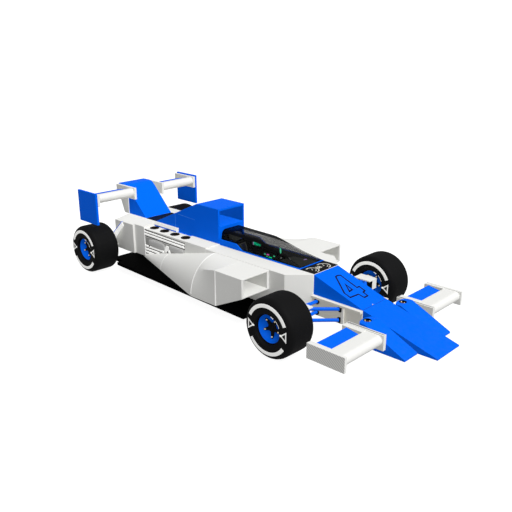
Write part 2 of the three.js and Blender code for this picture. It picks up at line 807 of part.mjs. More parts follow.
function pylonFairing() {
  const front = PYLON_LOWER_REAR_X - GAP;
  const top = REAR_PLATE_BOTTOM_Z - GAP;
  const bottom = SPINE_Z + GAP;
  return sideView(
    [
      [FAIRING_FOOT_X, bottom],
      [front, bottom],
      [front, top],
      [FAIRING_TOP_X, top],
    ],
    -FAIRING_HALF_WIDTH,
    FAIRING_HALF_WIDTH,
  );
}
add(car, "pylon_fairing", pylonFairing(), paint.white);

// ---------------------------------------------------------------- engine, cover, rear body
const POWER_FRONT_X = TUB_REAR_X - GAP; // where engine and bodywork meet the tub

// A shell over the engine, with the air intake in its front.
function cover() {
  const bottom = REAR_DECK_Z + GAP;
  const spineTop = SPINE_Z + GAP;
  const stepX = SPINE_FRONT_X + GAP;
  const outer = sideView(
    [
      [POWER_FRONT_X, bottom],
      [POWER_FRONT_X, COVER_TOP_Z],
      [COVER_FLAT_REAR_X, COVER_TOP_Z],
      [COVER_REAR_X, spineTop],
      [stepX, spineTop],
      [stepX, bottom],
    ],
    -COVER_HALF_WIDTH,
    COVER_HALF_WIDTH,
  );
  const inner = COVER_HALF_WIDTH - COVER_WALL;
  const slope = (COVER_TOP_Z - spineTop) / (COVER_FLAT_REAR_X - COVER_REAR_X);
  const ceiling = AIRBOX_FLOOR_Z - COVER_WALL;
  const bayRear = COVER_REAR_X + COVER_BAY_CLEAR;
  const bayFront = POWER_FRONT_X - COVER_WALL;
  const bay = sideView(
    [
      [bayFront, bottom - PAST],
      [bayFront, ceiling],
      [bayRear + (ceiling - spineTop) / slope, ceiling],
      [bayRear, spineTop - PAST],
      [stepX - COVER_WALL, spineTop - PAST],
      [stepX + COVER_WALL, bottom - PAST],
    ],
    -inner,
    inner,
  );
  const intake = box(
    POWER_FRONT_X - AIRBOX_DEPTH,
    POWER_FRONT_X + PAST,
    -inner,
    inner,
    AIRBOX_FLOOR_Z,
    COVER_TOP_Z - COVER_WALL,
  );
  return cut(outer, bay, intake);
}
add(car, "engine_cover", cover(), paint.blue);

const EXHAUST_PLACES = Array.from(
  { length: EXHAUST_COUNT },
  (_, i) => EXHAUST_FIRST_X + i * EXHAUST_PITCH,
);

// A shell, open below and at the front, where the engine bolts to the tub.
function rearBody() {
  const proud = REAR_BODY_HALF_WIDTH + REAR_PANEL_STEP;
  const slab = (x0, x1, half) => box(x0, x1, -half, half, REAR_BODY_BOTTOM_Z, REAR_DECK_Z);
  const ramp = new THREE.Shape(
    [
      [proud, REAR_DECK_Z - PAST],
      [proud, REAR_SHOULDER_Z],
      [SPINE_HALF_WIDTH, SPINE_Z],
      [-SPINE_HALF_WIDTH, SPINE_Z],
      [-proud, REAR_SHOULDER_Z],
      [-proud, REAR_DECK_Z - PAST],
    ].map(([y, z]) => new THREE.Vector2(y, z)),
  );
  const rampLength = REAR_RAMP_X - REAR_BODY_REAR_X;
  const raised = solid(
    extrude(ramp, rampLength)
      .rotateX(Math.PI / 2)
      .rotateZ(Math.PI / 2)
      .translate(REAR_BODY_REAR_X, 0, 0),
  );
  const within = unite(
    box(REAR_PANEL_X, POWER_FRONT_X, -REAR_BODY_HALF_WIDTH, REAR_BODY_HALF_WIDTH, 0, COVER_TOP_Z),
    box(REAR_BODY_REAR_X, REAR_PANEL_X, -proud, proud, 0, COVER_TOP_Z),
  );
  const shell = unite(
    slab(REAR_BODY_REAR_X, POWER_FRONT_X, REAR_BODY_HALF_WIDTH),
    slab(REAR_BODY_REAR_X, REAR_PANEL_X, proud),
    raised.intersect(within),
    box(
      REAR_RAMP_X - PAST,
      SPINE_FRONT_X,
      -SPINE_HALF_WIDTH,
      SPINE_HALF_WIDTH,
      REAR_DECK_Z - PAST,
      SPINE_Z,
    ),
  );
  const inner = REAR_BODY_HALF_WIDTH - REAR_BODY_WALL;
  const ceiling = REAR_DECK_Z - REAR_BODY_WALL;
  const bay = box(
    REAR_BODY_REAR_X + REAR_BODY_WALL,
    POWER_FRONT_X + PAST,
    -inner,
    inner,
    REAR_BODY_BOTTOM_Z - PAST,
    ceiling,
  );
  const underCover = COVER_HALF_WIDTH - COVER_WALL;
  const hatch = box(
    SPINE_FRONT_X + COVER_WALL,
    POWER_FRONT_X + PAST,
    -underCover,
    underCover,
    ceiling - PAST,
    REAR_DECK_Z + PAST,
  );
  const holes = EXHAUST_PLACES.flatMap((x) =>
    [EXHAUST_Y, -EXHAUST_Y].map((y) =>
      bar([x, y, ceiling - PAST], [x, y, REAR_DECK_Z + PAST], EXHAUST_RADIUS + GAP),
    ),
  );
  return cut(shell, bay, hatch, ...holes);
}
add(car, "rear_body", rearBody(), paint.white);

// A collector under the deck with one upright outlet for each cylinder.
function exhaustBank() {
  const logTop = REAR_DECK_Z - REAR_BODY_WALL - GAP;
  const log = box(
    EXHAUST_PLACES.at(-1) - EXHAUST_RADIUS,
    EXHAUST_PLACES[0] + EXHAUST_RADIUS,
    EXHAUST_Y - EXHAUST_RADIUS,
    EXHAUST_Y + EXHAUST_RADIUS,
    logTop - EXHAUST_LOG_DEPTH,
    logTop,
  );
  const upright = (x, low, high, radius) => bar([x, EXHAUST_Y, low], [x, EXHAUST_Y, high], radius);
  const outlets = EXHAUST_PLACES.map((x) =>
    upright(x, logTop - PAST, REAR_DECK_Z + PAST, EXHAUST_RADIUS),
  );
  const bores = EXHAUST_PLACES.map((x) =>
    upright(x, logTop - EXHAUST_LOG_DEPTH / 2, REAR_DECK_Z + 2 * PAST, EXHAUST_BORE),
  );
  return cut(unite(log, ...outlets), ...bores);
}
addPair("exhaust", exhaustBank(), paint.dark);

add(
  car,
  "engine",
  box(
    POWER_FRONT_X - ENGINE_LENGTH,
    POWER_FRONT_X,
    -ENGINE_HALF_WIDTH,
    ENGINE_HALF_WIDTH,
    TUB_BOTTOM_Z,
    TUB_BOTTOM_Z + ENGINE_HEIGHT,
  ),
  paint.steel,
);

// ---------------------------------------------------------------- floor
function floor() {
  const top = FLOOR_BOTTOM_Z + FLOOR_THICKNESS;
  const half = [
    [FLOOR_FRONT_X, FLOOR_FRONT_HALF_WIDTH],
    [FLOOR_NARROW_X, FLOOR_NARROW_HALF_WIDTH],
    [FLOOR_NARROW_X, FLOOR_REAR_HALF_WIDTH],
    [FLOOR_REAR_X, FLOOR_REAR_HALF_WIDTH],
  ];
  const outline = [...half, ...half.map(([x, y]) => [x, -y]).reverse()];
  const stand = box(
    FLOOR_REAR_X,
    FLOOR_FRONT_X,
    -STAND_HALF_WIDTH,
    STAND_HALF_WIDTH,
    top - PAST,
    TUB_BOTTOM_Z - GAP,
  );
  return unite(plan(outline, FLOOR_BOTTOM_Z, top), stand);
}
add(car, "floor", floor(), paint.black);

// ---------------------------------------------------------------- sidepods
const POD_INNER_Y = TUB_HALF_WIDTH + GAP;
const POD_SECTIONS = [
  // x, width, bottom z and top z; round is 0 for a square section, 1 for a quarter round
  {
    x: POD_JOINT_X - GAP,
    width: POD_HALF_WIDTH - POD_INNER_Y,
    bottom: INLET_HEEL_Z,
    top: POD_TOP_Z,
    round: 0,
  },
  {
    x: POD_ROUND_X,
    width: POD_ROUND_WIDTH,
    bottom: POD_ROUND_BOTTOM_Z,
    top: POD_TOP_Z,
    round: 1,
  },
  {
    x: POD_TAIL_X,
    width: POD_TAIL_WIDTH,
    bottom: POD_TAIL_BOTTOM_Z,
    top: POD_TAIL_TOP_Z,
    round: 1,
  },
];

function podSection({ x, width, bottom, top, round }) {
  const steps = 12;
  const corner = Array.from({ length: steps + 1 }, (_, i) => {
    const share = i / steps;
    const angle = (share * Math.PI) / 2;
    const across = THREE.MathUtils.lerp(Math.min(1, 2 * share), Math.sin(angle), round);
    const up = THREE.MathUtils.lerp(Math.min(1, 2 - 2 * share), Math.cos(angle), round);
    return [x, POD_INNER_Y + width * across, bottom + (top - bottom) * up];
  });
  return [[x, POD_INNER_Y, bottom], ...corner];
}
addPair("sidepod", loft(POD_SECTIONS.map(podSection)), paint.white);

function sidepodInlet() {
  const body = sideView(
    [
      [POD_JOINT_X, INLET_HEEL_Z],
      [POD_FRONT_X, INLET_SILL_Z],
      [POD_FRONT_X, POD_TOP_Z],
      [POD_JOINT_X, POD_TOP_Z],
    ],
    POD_INNER_Y,
    POD_HALF_WIDTH,
  );
  const mouth = box(
    POD_FRONT_X - INLET_DEPTH,
    POD_FRONT_X + PAST,
    POD_INNER_Y + INLET_WALL,
    POD_HALF_WIDTH - INLET_WALL,
    INLET_FLOOR_Z,
    POD_TOP_Z - INLET_LIP,
  );
  return cut(body, mouth);
}
addPair("sidepod_inlet", sidepodInlet(), paint.white);

// ---------------------------------------------------------------- suspension
// A pair of legs from one height on the keel, joined in a boss on the kingpin axis.
function wishbone(legZ, jointZ) {
  const socketEnd = KEEL_HALF_WIDTH - PICKUP_DEPTH + GAP;
  const root = KEEL_HALF_WIDTH - PLUG_RECESS;
  const joint = [FRONT_AXLE_X, KINGPIN_Y, jointZ];
  const legs = LEG_ROOTS.flatMap((x) => [
    bar([x, root - PAST, legZ], joint, LEG_RADIUS, 12),
    bar([x, socketEnd, legZ], [x, root, legZ], PICKUP_RADIUS - GAP),
  ]);
  const boss = bar(
    [FRONT_AXLE_X, KINGPIN_Y, jointZ - BOSS_HALF_HEIGHT],
    [FRONT_AXLE_X, KINGPIN_Y, jointZ + BOSS_HALF_HEIGHT],
    BOSS_RADIUS,
  );
  return unite(...legs, boss);
}
addPair("upper_wishbone", wishbone(LEG_UPPER_Z, UPPER_JOINT_Z), paint.blue);
addPair("lower_wishbone", wishbone(LEG_LOWER_Z, LOWER_JOINT_Z), paint.blue);

// Carries the wheel on its stub axle. Its slab lies on the upper wishbone's boss and its lug
// reaches under the lower one.
function knuckle() {
  const outer = FRONT_WHEEL_Y - TYRE_WIDTH / 2 - RUNNING;
  const inner = KINGPIN_Y + BOSS_RADIUS + RUNNING;
  const x0 = FRONT_AXLE_X - KNUCKLE_POST_HALF_LENGTH;
  const x1 = FRONT_AXLE_X + KNUCKLE_POST_HALF_LENGTH;
  const slabZ = UPPER_JOINT_Z + BOSS_HALF_HEIGHT + GAP;
  const lugZ = LOWER_JOINT_Z - BOSS_HALF_HEIGHT - GAP;
  const legX = KNUCKLE_FRONT_X - KNUCKLE_LEG_THICKNESS;
  return unite(
    box(x0, x1, inner, outer, KNUCKLE_LUG_Z, slabZ + PAST),
    box(
      KNUCKLE_REAR_X,
      KNUCKLE_FRONT_X,
      KNUCKLE_INNER_Y,
      KNUCKLE_OUTER_Y,
      slabZ,
      KNUCKLE_TOP_Z,
    ),
    box(x0, x1, KINGPIN_Y - BOSS_RADIUS, inner + PAST, KNUCKLE_LUG_Z, lugZ),
    box(
      legX,
      KNUCKLE_FRONT_X,
      KNUCKLE_LEG_INNER_Y,
      KNUCKLE_OUTER_Y,
      KNUCKLE_LEG_BOTTOM_Z,
      slabZ + PAST,
    ),
    bar(
      [FRONT_AXLE_X, inner, TYRE_RADIUS],
      [FRONT_AXLE_X, FRONT_WHEEL_Y + AXLE_REACH, TYRE_RADIUS],
      AXLE_RADIUS,
      24,
    ),
  );
}
addPair("knuckle", knuckle(), paint.white);

// Fixed upright with its stub axle, and the two blades that carry it from the rear body.
function rearUpright() {
  const tyreInner = REAR_WHEEL_Y - TYRE_WIDTH / 2;
  const wall = REAR_BODY_HALF_WIDTH + REAR_PANEL_STEP + GAP;
  const outer = tyreInner - RUNNING;
  const inner = outer - UPRIGHT_THICKNESS;
  const blade = ({ wallZ, jointZ }) => {
    const half = REAR_ARM_CHORD / 2;
    const section = (x, y, z) => [
      [x - half, y, z - REAR_ARM_THICKNESS / 2],
      [x - half, y, z + REAR_ARM_THICKNESS / 2],
      [x + half, y, z + REAR_ARM_THICKNESS / 2],
      [x + half, y, z - REAR_ARM_THICKNESS / 2],
    ];
    return loft([
      section(REAR_ARM_X, wall + REAR_PAD_THICKNESS / 2, wallZ),
      section(REAR_AXLE_X, inner + UPRIGHT_THICKNESS / 2, jointZ),
    ]);
  };
  const pads = REAR_ARMS.map(({ wallZ }) =>
    box(
      REAR_ARM_X - REAR_PAD,
      REAR_ARM_X + REAR_PAD,
      wall,
      wall + REAR_PAD_THICKNESS,
      wallZ - REAR_PAD,
      wallZ + REAR_PAD,
    ),
  );
  return unite(
    ...pads,
    ...REAR_ARMS.map(blade),
    box(
      REAR_AXLE_X - UPRIGHT_HALF_LENGTH,
      REAR_AXLE_X + UPRIGHT_HALF_LENGTH,
      inner,
      outer,
      UPRIGHT_BOTTOM_Z,
      UPRIGHT_TOP_Z,
    ),
    bar(
      [REAR_AXLE_X, inner, TYRE_RADIUS],
      [REAR_AXLE_X, REAR_WHEEL_Y + AXLE_REACH, TYRE_RADIUS],
      AXLE_RADIUS,
      24,
    ),
  );
}
addPair("rear_upright", rearUpright(), paint.white);

// ---------------------------------------------------------------- wheels
// Profiles are (radius, y) with y = 0 in the tyre's centre plane and +y outwards.
function tyre() {
  const half = TYRE_WIDTH / 2;
  const bead = RIM_RADIUS + GAP;
  const steps = 3;
  const shoulder = (side) =>
    Array.from({ length: steps + 1 }, (_, i) => {
      const angle = (i / steps) * (Math.PI / 2);
      return [
        TYRE_RADIUS - TYRE_SHOULDER * (1 - Math.cos(angle)),
        side * (half - TYRE_SHOULDER * (1 - Math.sin(angle))),
      ];
    });
  const profile = [
    [bead, half - RIM_RECESS],
    [bead, -half + RIM_RECESS],
    ...shoulder(-1).reverse(),
    ...shoulder(1),
  ];
  return turned([...profile, profile[0]]);
}

function rim() {
  const half = TYRE_WIDTH / 2 - RIM_RECESS;
  const inner = RIM_RADIUS - RIM_WALL;
  const barrel = [
    [inner, -half],
    [RIM_RADIUS, -half],
    [RIM_RADIUS, half],
    [inner, half],
    [inner, -half],
  ];
  const length = inner + RIM_WALL / 2 - BORE_RADIUS;
  const spokes = Array.from({ length: SPOKE_COUNT }, (_, i) =>
    solid(
      new THREE.BoxGeometry(length, SPOKE_THICKNESS, SPOKE_WIDTH)
        .translate(BORE_RADIUS + length / 2, half - SPOKE_RECESS, 0)
        .rotateY((i / SPOKE_COUNT) * 2 * Math.PI),
    ),
  );
  const face = half - HUB_FACE_RECESS;
  const round = (y0, y1, radius) => bar([0, y0, 0], [0, y1, 0], radius, 24);
  const hub = round(face - HUB_LENGTH, face, HUB_RADIUS);
  const bore = round(face - HUB_LENGTH - PAST, face + PAST, BORE_RADIUS);
  return cut(unite(turned(barrel), ...spokes, hub), bore);
}

const tyreSolid = tyre();
const rimSolid = rim();
const AXLES = [
  // name, axle's x, wheel's y
  ["front", FRONT_AXLE_X, FRONT_WHEEL_Y],
  ["rear", REAR_AXLE_X, REAR_WHEEL_Y],
];
const SIDES = [
  ["left", left],
  ["right", right],
];
for (const [name, x, y] of AXLES) {
  for (const [side, parent] of SIDES) {
    const wheel = new THREE.Group();
    wheel.position.set(x, y, TYRE_RADIUS);
    parent.add(wheel);
    add(wheel, `tyre_${name}_${side}`, tyreSolid, paint.tyre);
    add(wheel, `rim_${name}_${side}`, rimSolid, paint.blue);
  }
}

export default car;
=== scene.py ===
"""An open-wheel racing car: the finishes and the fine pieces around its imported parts.

+X forward, +Y to the car's left, +Z up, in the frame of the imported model. Shapes are
worked out in millimetres and made in metres; finishes are in metres.
"""

import math
from functools import partialmethod
from types import SimpleNamespace

import bmesh
import bpy
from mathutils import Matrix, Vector


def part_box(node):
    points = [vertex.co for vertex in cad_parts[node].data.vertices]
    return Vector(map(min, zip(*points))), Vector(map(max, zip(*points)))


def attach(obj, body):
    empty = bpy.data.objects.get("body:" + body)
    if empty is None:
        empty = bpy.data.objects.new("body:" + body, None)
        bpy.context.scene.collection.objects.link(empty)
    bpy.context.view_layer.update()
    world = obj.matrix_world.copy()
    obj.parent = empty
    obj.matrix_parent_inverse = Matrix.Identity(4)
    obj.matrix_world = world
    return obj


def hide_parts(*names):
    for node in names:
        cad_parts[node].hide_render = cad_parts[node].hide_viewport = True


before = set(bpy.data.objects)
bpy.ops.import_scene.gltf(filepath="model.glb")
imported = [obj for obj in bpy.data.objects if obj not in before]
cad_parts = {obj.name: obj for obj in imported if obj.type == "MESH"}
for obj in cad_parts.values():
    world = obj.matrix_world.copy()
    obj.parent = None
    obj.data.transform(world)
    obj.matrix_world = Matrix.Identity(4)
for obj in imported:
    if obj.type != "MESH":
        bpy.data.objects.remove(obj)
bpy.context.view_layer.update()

MM = 0.001
SIDES = (("left", 1), ("right", -1))
BOTH = (1, -1)
UP = (0, 0, 1)


# ---- node trees
class Value:
    """A node's socket that can be used in arithmetic. Each operation adds a Math node."""

    def __init__(self, graph, socket):
        self.graph = graph
        self.socket = socket

    def other(self, name):
        """Another output of the same node."""
        return Value(self.graph, self.socket.node.outputs[name])

    def math(self, operation, *others, clamp=False):
        settings = {"operation": operation, "use_clamp": clamp}
        return self.graph.add("ShaderNodeMath", settings, (self, *others))

    def __rsub__(self, other):
        return self.graph.add("ShaderNodeMath", {"operation": "SUBTRACT"}, (other, self))

    __add__ = __radd__ = partialmethod(math, "ADD")
    __sub__ = partialmethod(math, "SUBTRACT")
    __mul__ = __rmul__ = partialmethod(math, "MULTIPLY")
    __truediv__ = partialmethod(math, "DIVIDE")
    __mod__ = partialmethod(math, "FLOORED_MODULO")
    __gt__ = partialmethod(math, "GREATER_THAN")
    __lt__ = partialmethod(math, "LESS_THAN")
    clamped = partialmethod(math, "ADD", 0.0, clamp=True)


class Graph:
    """Builds a node tree. Inputs are numbers, tuples or Values, by place or by name."""

    def __init__(self, tree):
        self.tree = tree

    def add(self, kind, settings=None, inputs=(), out=0):
        node = self.tree.nodes.new(kind)
        for key, setting in (settings or {}).items():
            setattr(node, key, setting)
        pairs = inputs.items() if isinstance(inputs, dict) else enumerate(inputs)
        for key, value in pairs:
            if isinstance(value, Value):
                self.tree.links.new(value.socket, node.inputs[key])
            else:
                node.inputs[key].default_value = value
        return Value(self, node.outputs[out])


class Finish(Graph):
    """A material. What is constant sits on the shader's own sockets, what varies is fed."""

    def __init__(self, name, **constants):
        self.material = bpy.data.materials.new(name)
        self.material.use_nodes = True
        super().__init__(self.material.node_tree)
        self.tree.nodes.clear()
        self.shader = self.tree.nodes.new("ShaderNodeBsdfPrincipled")
        for key, value in constants.items():
            self.shader.inputs[key.replace("_", " ")].default_value = value
        output = self.tree.nodes.new("ShaderNodeOutputMaterial")
        self.tree.links.new(self.shader.outputs[0], output.inputs[0])
        self.place = self.add("ShaderNodeTexCoord", out="Object")

    def feed(self, **values):
        for key, value in values.items():
            self.tree.links.new(value.socket, self.shader.inputs[key.replace("_", " ")])

    def mix(self, low, high, factor):
        """A colour between two colours."""
        settings = {"data_type": "RGBA", "clamp_factor": True}
        return self.add("ShaderNodeMix", settings, {0: factor, 6: low, 7: high}, out=2)

    def noise(self, scale, detail=2.0, place=None):
        inputs = {"Vector": place or self.place, "Scale": scale, "Detail": detail}
        return self.add("ShaderNodeTexNoise", None, inputs)

    def stretched(self, place, scale):
        return self.add("ShaderNodeMapping", None, (place, (0, 0, 0), (0, 0, 0), scale))

    def axis(self, name):
        return self.add("ShaderNodeSeparateXYZ", None, (self.place,), out=name)

    def stripes(self, along, pitch):
        """A wave from 0 to 1 along a distance, once every pitch."""
        return (along * (math.tau / pitch)).math("SINE") * 0.5 + 0.5

    def skin(self, low, high, share, rough, relief=None, depth=0.0, strength=0.5):
        """Colour from low to high by share, roughness, and a relief some millimetres deep."""
        self.feed(Base_Color=self.mix(low, high, share), Roughness=rough)
        if relief:
            inputs = {"Strength": strength, "Distance": depth * MM, "Height": relief}
            self.feed(Normal=self.add("ShaderNodeBump", None, inputs))
        return self


# ---- finishes
def tone(red, green, blue):
    """A display colour, each part from 0 to 255, as the shader's linear colour."""

    def linear(part):
        share = part / 255
        return share / 12.92 if share <= 0.04045 else ((share + 0.055) / 1.055) ** 2.4

    return (linear(red), linear(green), linear(blue), 1.0)


def shade(colour, share):
    return tuple(share * part for part in colour[:3]) + (1.0,)


ROAD_DUST = tone(120, 112, 100)
HOT_METAL = tone(84, 60, 40)


def paint(name, colour, gloss=0.45, level=0.05):
    """Painted bodywork: faint orange peel, slow drift of colour, road dust low down."""
    finish = Finish(name, Specular_IOR_Level=level)
    drift = finish.noise(1.7, 3)
    low = (1 - (finish.axis("Z") - 0.12) * 3.2).clamped()
    grime = low * (finish.noise(23, 5) - 0.35).clamped() * 0.15
    base = finish.mix(colour, shade(colour, 0.95), drift)
    rough = gloss + drift * 0.08 + grime * 0.8
    return finish.skin(base, ROAD_DUST, grime, rough, finish.noise(420, 1), 0.1, 0.4)


def composite(name, colour, pitch):
    """Woven carbon in a twill: each tow passes over two and under two."""
    finish = Finish(name, Specular_IOR_Level=0.004)
    across = (finish.axis("X") / pitch).math("FLOOR")
    along = (finish.axis("Y") / pitch).math("FLOOR")
    warp = ((across + along) % 4) < 1.5
    fibre = finish.stripes(finish.axis("X"), pitch / 5) * warp
    fibre = fibre + finish.stripes(finish.axis("Y"), pitch / 5) * (1 - warp)
    drift = finish.noise(3, 3)
    share = warp * 0.6 + drift * 0.3
    rough = 0.38 + warp * 0.12 + drift * 0.1
    return finish.skin(colour, shade(colour, 1.7), share, rough, fibre, 0.15)


def plastic(name, colour, grain=0.3, gloss=0.5, level=0.35):
    """Moulded plastic with a fine leather grain."""
    finish = Finish(name, Specular_IOR_Level=level)
    cells = finish.add("ShaderNodeTexVoronoi", None, {"Vector": finish.place, "Scale": 520})
    drift = finish.noise(6, 3)
    return finish.skin(colour, shade(colour, 0.8), drift, gloss + drift * 0.12, cells, 0.2, grain)


def rubber(name, colour):
    """Tyre rubber: moulding lines round the sidewall, scuffs round the tread."""
    finish = Finish(name, Specular_IOR_Level=0.12)
    skin = finish.add("ShaderNodeUVMap", {"uv_map": "skin"})
    scuffs = finish.noise(3, 4, finish.stretched(skin, (6, 90, 1)))
    relief = scuffs * 0.7 + finish.noise(900, 2) * 0.3
    return finish.skin(colour, shade(colour, 1.6), scuffs, 0.62 + scuffs * 0.2, relief, 0.4)


def metal(name, colour, rough=0.3, scale=260):
    """Machined or cast metal with fine lines and a slow change of tint."""
    finish = Finish(name, Metallic=1.0)
    lines = finish.noise(scale, 2, finish.stretched(finish.place, (1, 1, 14)))
    drift = finish.noise(9, 3)
    return finish.skin(colour, shade(colour, 0.7), drift, rough + lines * 0.15, lines, 0.08, 0.4)


def scorched(name, colour):
    """Exhaust metal, sooty inside and brown where it has been hot."""
    finish = Finish(name, Metallic=0.6)
    soot = finish.noise(30, 4)
    return finish.skin(colour, HOT_METAL, (soot - 0.45) * 2, 0.45 + soot * 0.3, soot, 0.3)


def fabric(name, colour, pitch):
    """Close weave on a padded piece, read across the car and up it."""
    finish = Finish(name, Specular_IOR_Level=0.2, Sheen_Weight=0.3, Sheen_Roughness=0.5)
    across = finish.stripes(finish.axis("Y"), pitch)
    up = finish.stripes(finish.axis("Z") + finish.axis("X"), pitch)
    weave = across * up + (1 - across) * (1 - up)
    wear = finish.noise(7, 4)
    share = weave * 0.5 + wear * 0.4
    return finish.skin(colour, shade(colour, 1.5), share, 0.85 + wear * 0.1, weave, 0.5)


def webbing(name, colour):
    """Woven harness strap with ribs across it."""
    finish = Finish(name, Specular_IOR_Level=0.25)
    ribs = finish.stripes(finish.axis("X") + finish.axis("Z"), 3 * MM)
    wear = finish.noise(18, 3)
    share = ribs * 0.6 + wear * 0.4
    return finish.skin(shade(colour, 0.75), colour, share, 0.8 + wear * 0.1, ribs, 0.4, 0.6)


def print_ink(name, colour, gloss=0.5, glow=0.0):
    """Printed or painted marks, a little worn. glow adds emission in the mark's own colour: painted light,
    so marks and lines on shaded faces look lit.
    """
    finish = Finish(name, Specular_IOR_Level=0.15, Emission_Strength=glow, Emission_Color=colour)
    wear = finish.noise(60, 4)
    return finish.skin(colour, shade(colour, 0.82), (wear - 0.4) * 2, gloss + wear * 0.15)


def lamp(name, colour, power):
    """A lit display behind a dark pane, brighter in fine rows."""
    finish = Finish(name, Specular_IOR_Level=0.4, Roughness=0.2, Emission_Strength=power)
    rows = finish.stripes(finish.axis("Z") + finish.axis("X") * 0.2, 4 * MM)
    finish.feed(
        Base_Color=finish.mix(shade(colour, 0.3), shade(colour, 0.45), rows),
        Emission_Color=finish.mix(shade(colour, 0.75), colour, rows),
    )
    return finish


def tinted(name, colour, shade_plate):
    """Tinted canopy glass, a little denser towards its foot."""
    finish = Finish(name, Specular_IOR_Level=0.15, IOR=1.5)
    haze = finish.noise(2.5, 2)
    height = (finish.axis("Z") - 0.6) * 4
    finish.feed(Alpha=(shade_plate + haze * 0.04 - height * 0.04).clamped())
    return finish.skin(colour, shade(colour, 1.3), haze, 0.05 + haze * 0.03)


def hatched(name, colour, lines, pitch, from_middle):
    """Painted plate with a fine diagonal hatch pressed in its face past from_middle."""
    finish = Finish(name, Specular_IOR_Level=0.3)
    outer = finish.axis("Y").math("ABSOLUTE") > from_middle
    hatch = finish.stripes(finish.axis("X") * 0.8 + finish.axis("Z"), pitch) * outer
    return finish.skin(colour, lines, hatch, 0.42 + finish.noise(4, 3) * 0.1, hatch, 0.3, 0.4)


BLUE = tone(0, 108, 255)
WHITE = tone(244, 244, 241)
blue = paint("blue_paint", BLUE, 0.45, 0.02)
arm_blue = paint("arm_blue_paint", BLUE, 0.3, 0.05)
white = paint("white_paint", WHITE)
cream = paint("cream_paint", tone(242, 240, 233))
# A lighter copy of the white paint for strips and fillets that stand for lit edges and faces: painted
# highlight. The white studs use it too.
bright = paint("highlight_white_paint", tone(252, 252, 250))
mid_grey = paint("mid_grey_paint", tone(178, 178, 176))
duct_grey = paint("duct_paint", tone(206, 206, 205))
satin = paint("black_paint", tone(3, 3, 4), 0.5, 0.1)
hatched_white = hatched("hatched_white", WHITE, shade(WHITE, 0.66), 26 * MM, 0.9955)
carbon = composite("carbon_floor", tone(2, 2, 2), 6 * MM)
black = plastic("black_plastic", tone(5, 5, 6), 0.3, 0.55, 0.15)
trim = plastic("dark_trim", tone(40, 41, 40), 0.3, 0.5, 0.2)
cowl_skin = plastic("cowl_skin", tone(66, 69, 62), 0.3, 0.5, 0.1)
# Grey trim; along the wings' root plates the same grey is painted shade of grooves.
grey = plastic("grey_trim_and_groove_shade", tone(150, 150, 150))
grip = plastic("grip_leather", tone(8, 8, 9), 0.6, 0.65, 0.2)
red_lens = plastic("red_lens", tone(120, 8, 10), 0.1, 0.15, 0.5)
tyre_rubber = rubber("tyre_rubber", tone(10, 10, 11))
# The sidewall print glows: painted light on real print.
glowing_wall_print = print_ink("sidewall_mark", tone(240, 240, 238), glow=0.32)
navy_line = print_ink("navy_line", tone(0, 0, 30))
# Near-black for the shade inside slots that are not cut: painted shade. The grille's spots use it too.
slot_shade_black = print_ink("slot_shade_black", tone(6, 6, 7))
# Darker blue for the shade in the joint of nose cone and tip: painted shade.
seam_shade_blue = print_ink("seam_shade_blue", tone(0, 45, 150))
pale_blue = print_ink("pale_blue_line", tone(60, 140, 255))
# Pale white that glows a little: painted highlight, for lines, ribs, strips and blades that stand for lit
# creases, edges and faces.
glowing_highlight_white = print_ink("glowing_highlight_white", tone(252, 252, 250), glow=0.3)
cream_pin = print_ink("cream_pin", tone(238, 226, 198), 0.3)
dial_print = print_ink("dial_print", tone(232, 230, 220))
steel = metal("machined_steel", tone(200, 200, 198))
brass = metal("brass", tone(150, 96, 52), 0.35)
cast = metal("cast_metal", tone(140, 142, 145), 0.45, 90)
scorched_metal = scorched("scorched_metal", tone(26, 24, 23))
seat_cloth = fabric("seat_cloth", tone(62, 64, 60), 3 * MM)
strap_web = webbing("harness_strap", tone(30, 34, 60))
glass = tinted("canopy_glass", tone(5, 6, 8), 0.37)
teal = lamp("teal_lamp", tone(10, 200, 140), 1.6)
mint = lamp("mint_lamp", tone(80, 225, 170), 1.6)
green = lamp("green_lamp", tone(0, 235, 140), 2.0)
magenta = lamp("magenta_lamp", tone(225, 90, 200), 1.5)
lilac = lamp("lilac_lamp", tone(190, 160, 225), 1.0)
dim = lamp("dim_screen", tone(20, 60, 60), 0.4)
BLEEDING = (blue, arm_blue)
COCKPIT = (
    satin, black, trim, cowl_skin, grip, red_lens, brass, cream_pin, dial_print,
    seat_cloth, strap_web, steel, teal, mint, green, magenta, lilac, dim,
)
SLOTS = {  # the record's slot that each finish belongs to
    "body_white": (white, cream, bright, mid_grey, duct_grey, hatched_white, slot_shade_black, glowing_highlight_white, grey),
    "body_blue": (blue, navy_line, seam_shade_blue, pale_blue),
    "cockpit_black": COCKPIT,
    "arm_blue": (arm_blue,),
    "floor_black": (carbon,),
    "engine_metal": (cast,),
    "exhaust_dark": (scorched_metal,),
    "tyre_rubber": (tyre_rubber, glowing_wall_print),
    "canopy_glass": (glass,),
}
for slot, finishes in SLOTS.items():
    for finish in finishes:
        finish.slot = slot


# ---- places and solids
def span(node):
    """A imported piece's extent, and how near and far from the car's middle it reaches."""
    low, high = (Vector(corner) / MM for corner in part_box(node))
    inner, outer = sorted((abs(low.y), abs(high.y)))
    return SimpleNamespace(
        x0=low.x, x1=high.x, y0=low.y, y1=high.y, z0=low.z, z1=high.z,
        inner=inner, outer=outer, middle=(low + high) / 2,
    )


class Face:
    """A flat place on the car: u runs across it, v up it, and w stands off it."""

    def __init__(self, origin, across, up, out=None):
        self.origin = Vector(origin)
        self.across = Vector(across).normalized()
        normal = self.across.cross(Vector(up)).normalized()
        self.up = normal.cross(self.across)
        self.out = Vector(out) if out else normal

    def at(self, u, v, w=0.0):
        return self.origin + self.across * u + self.up * v + self.out * w


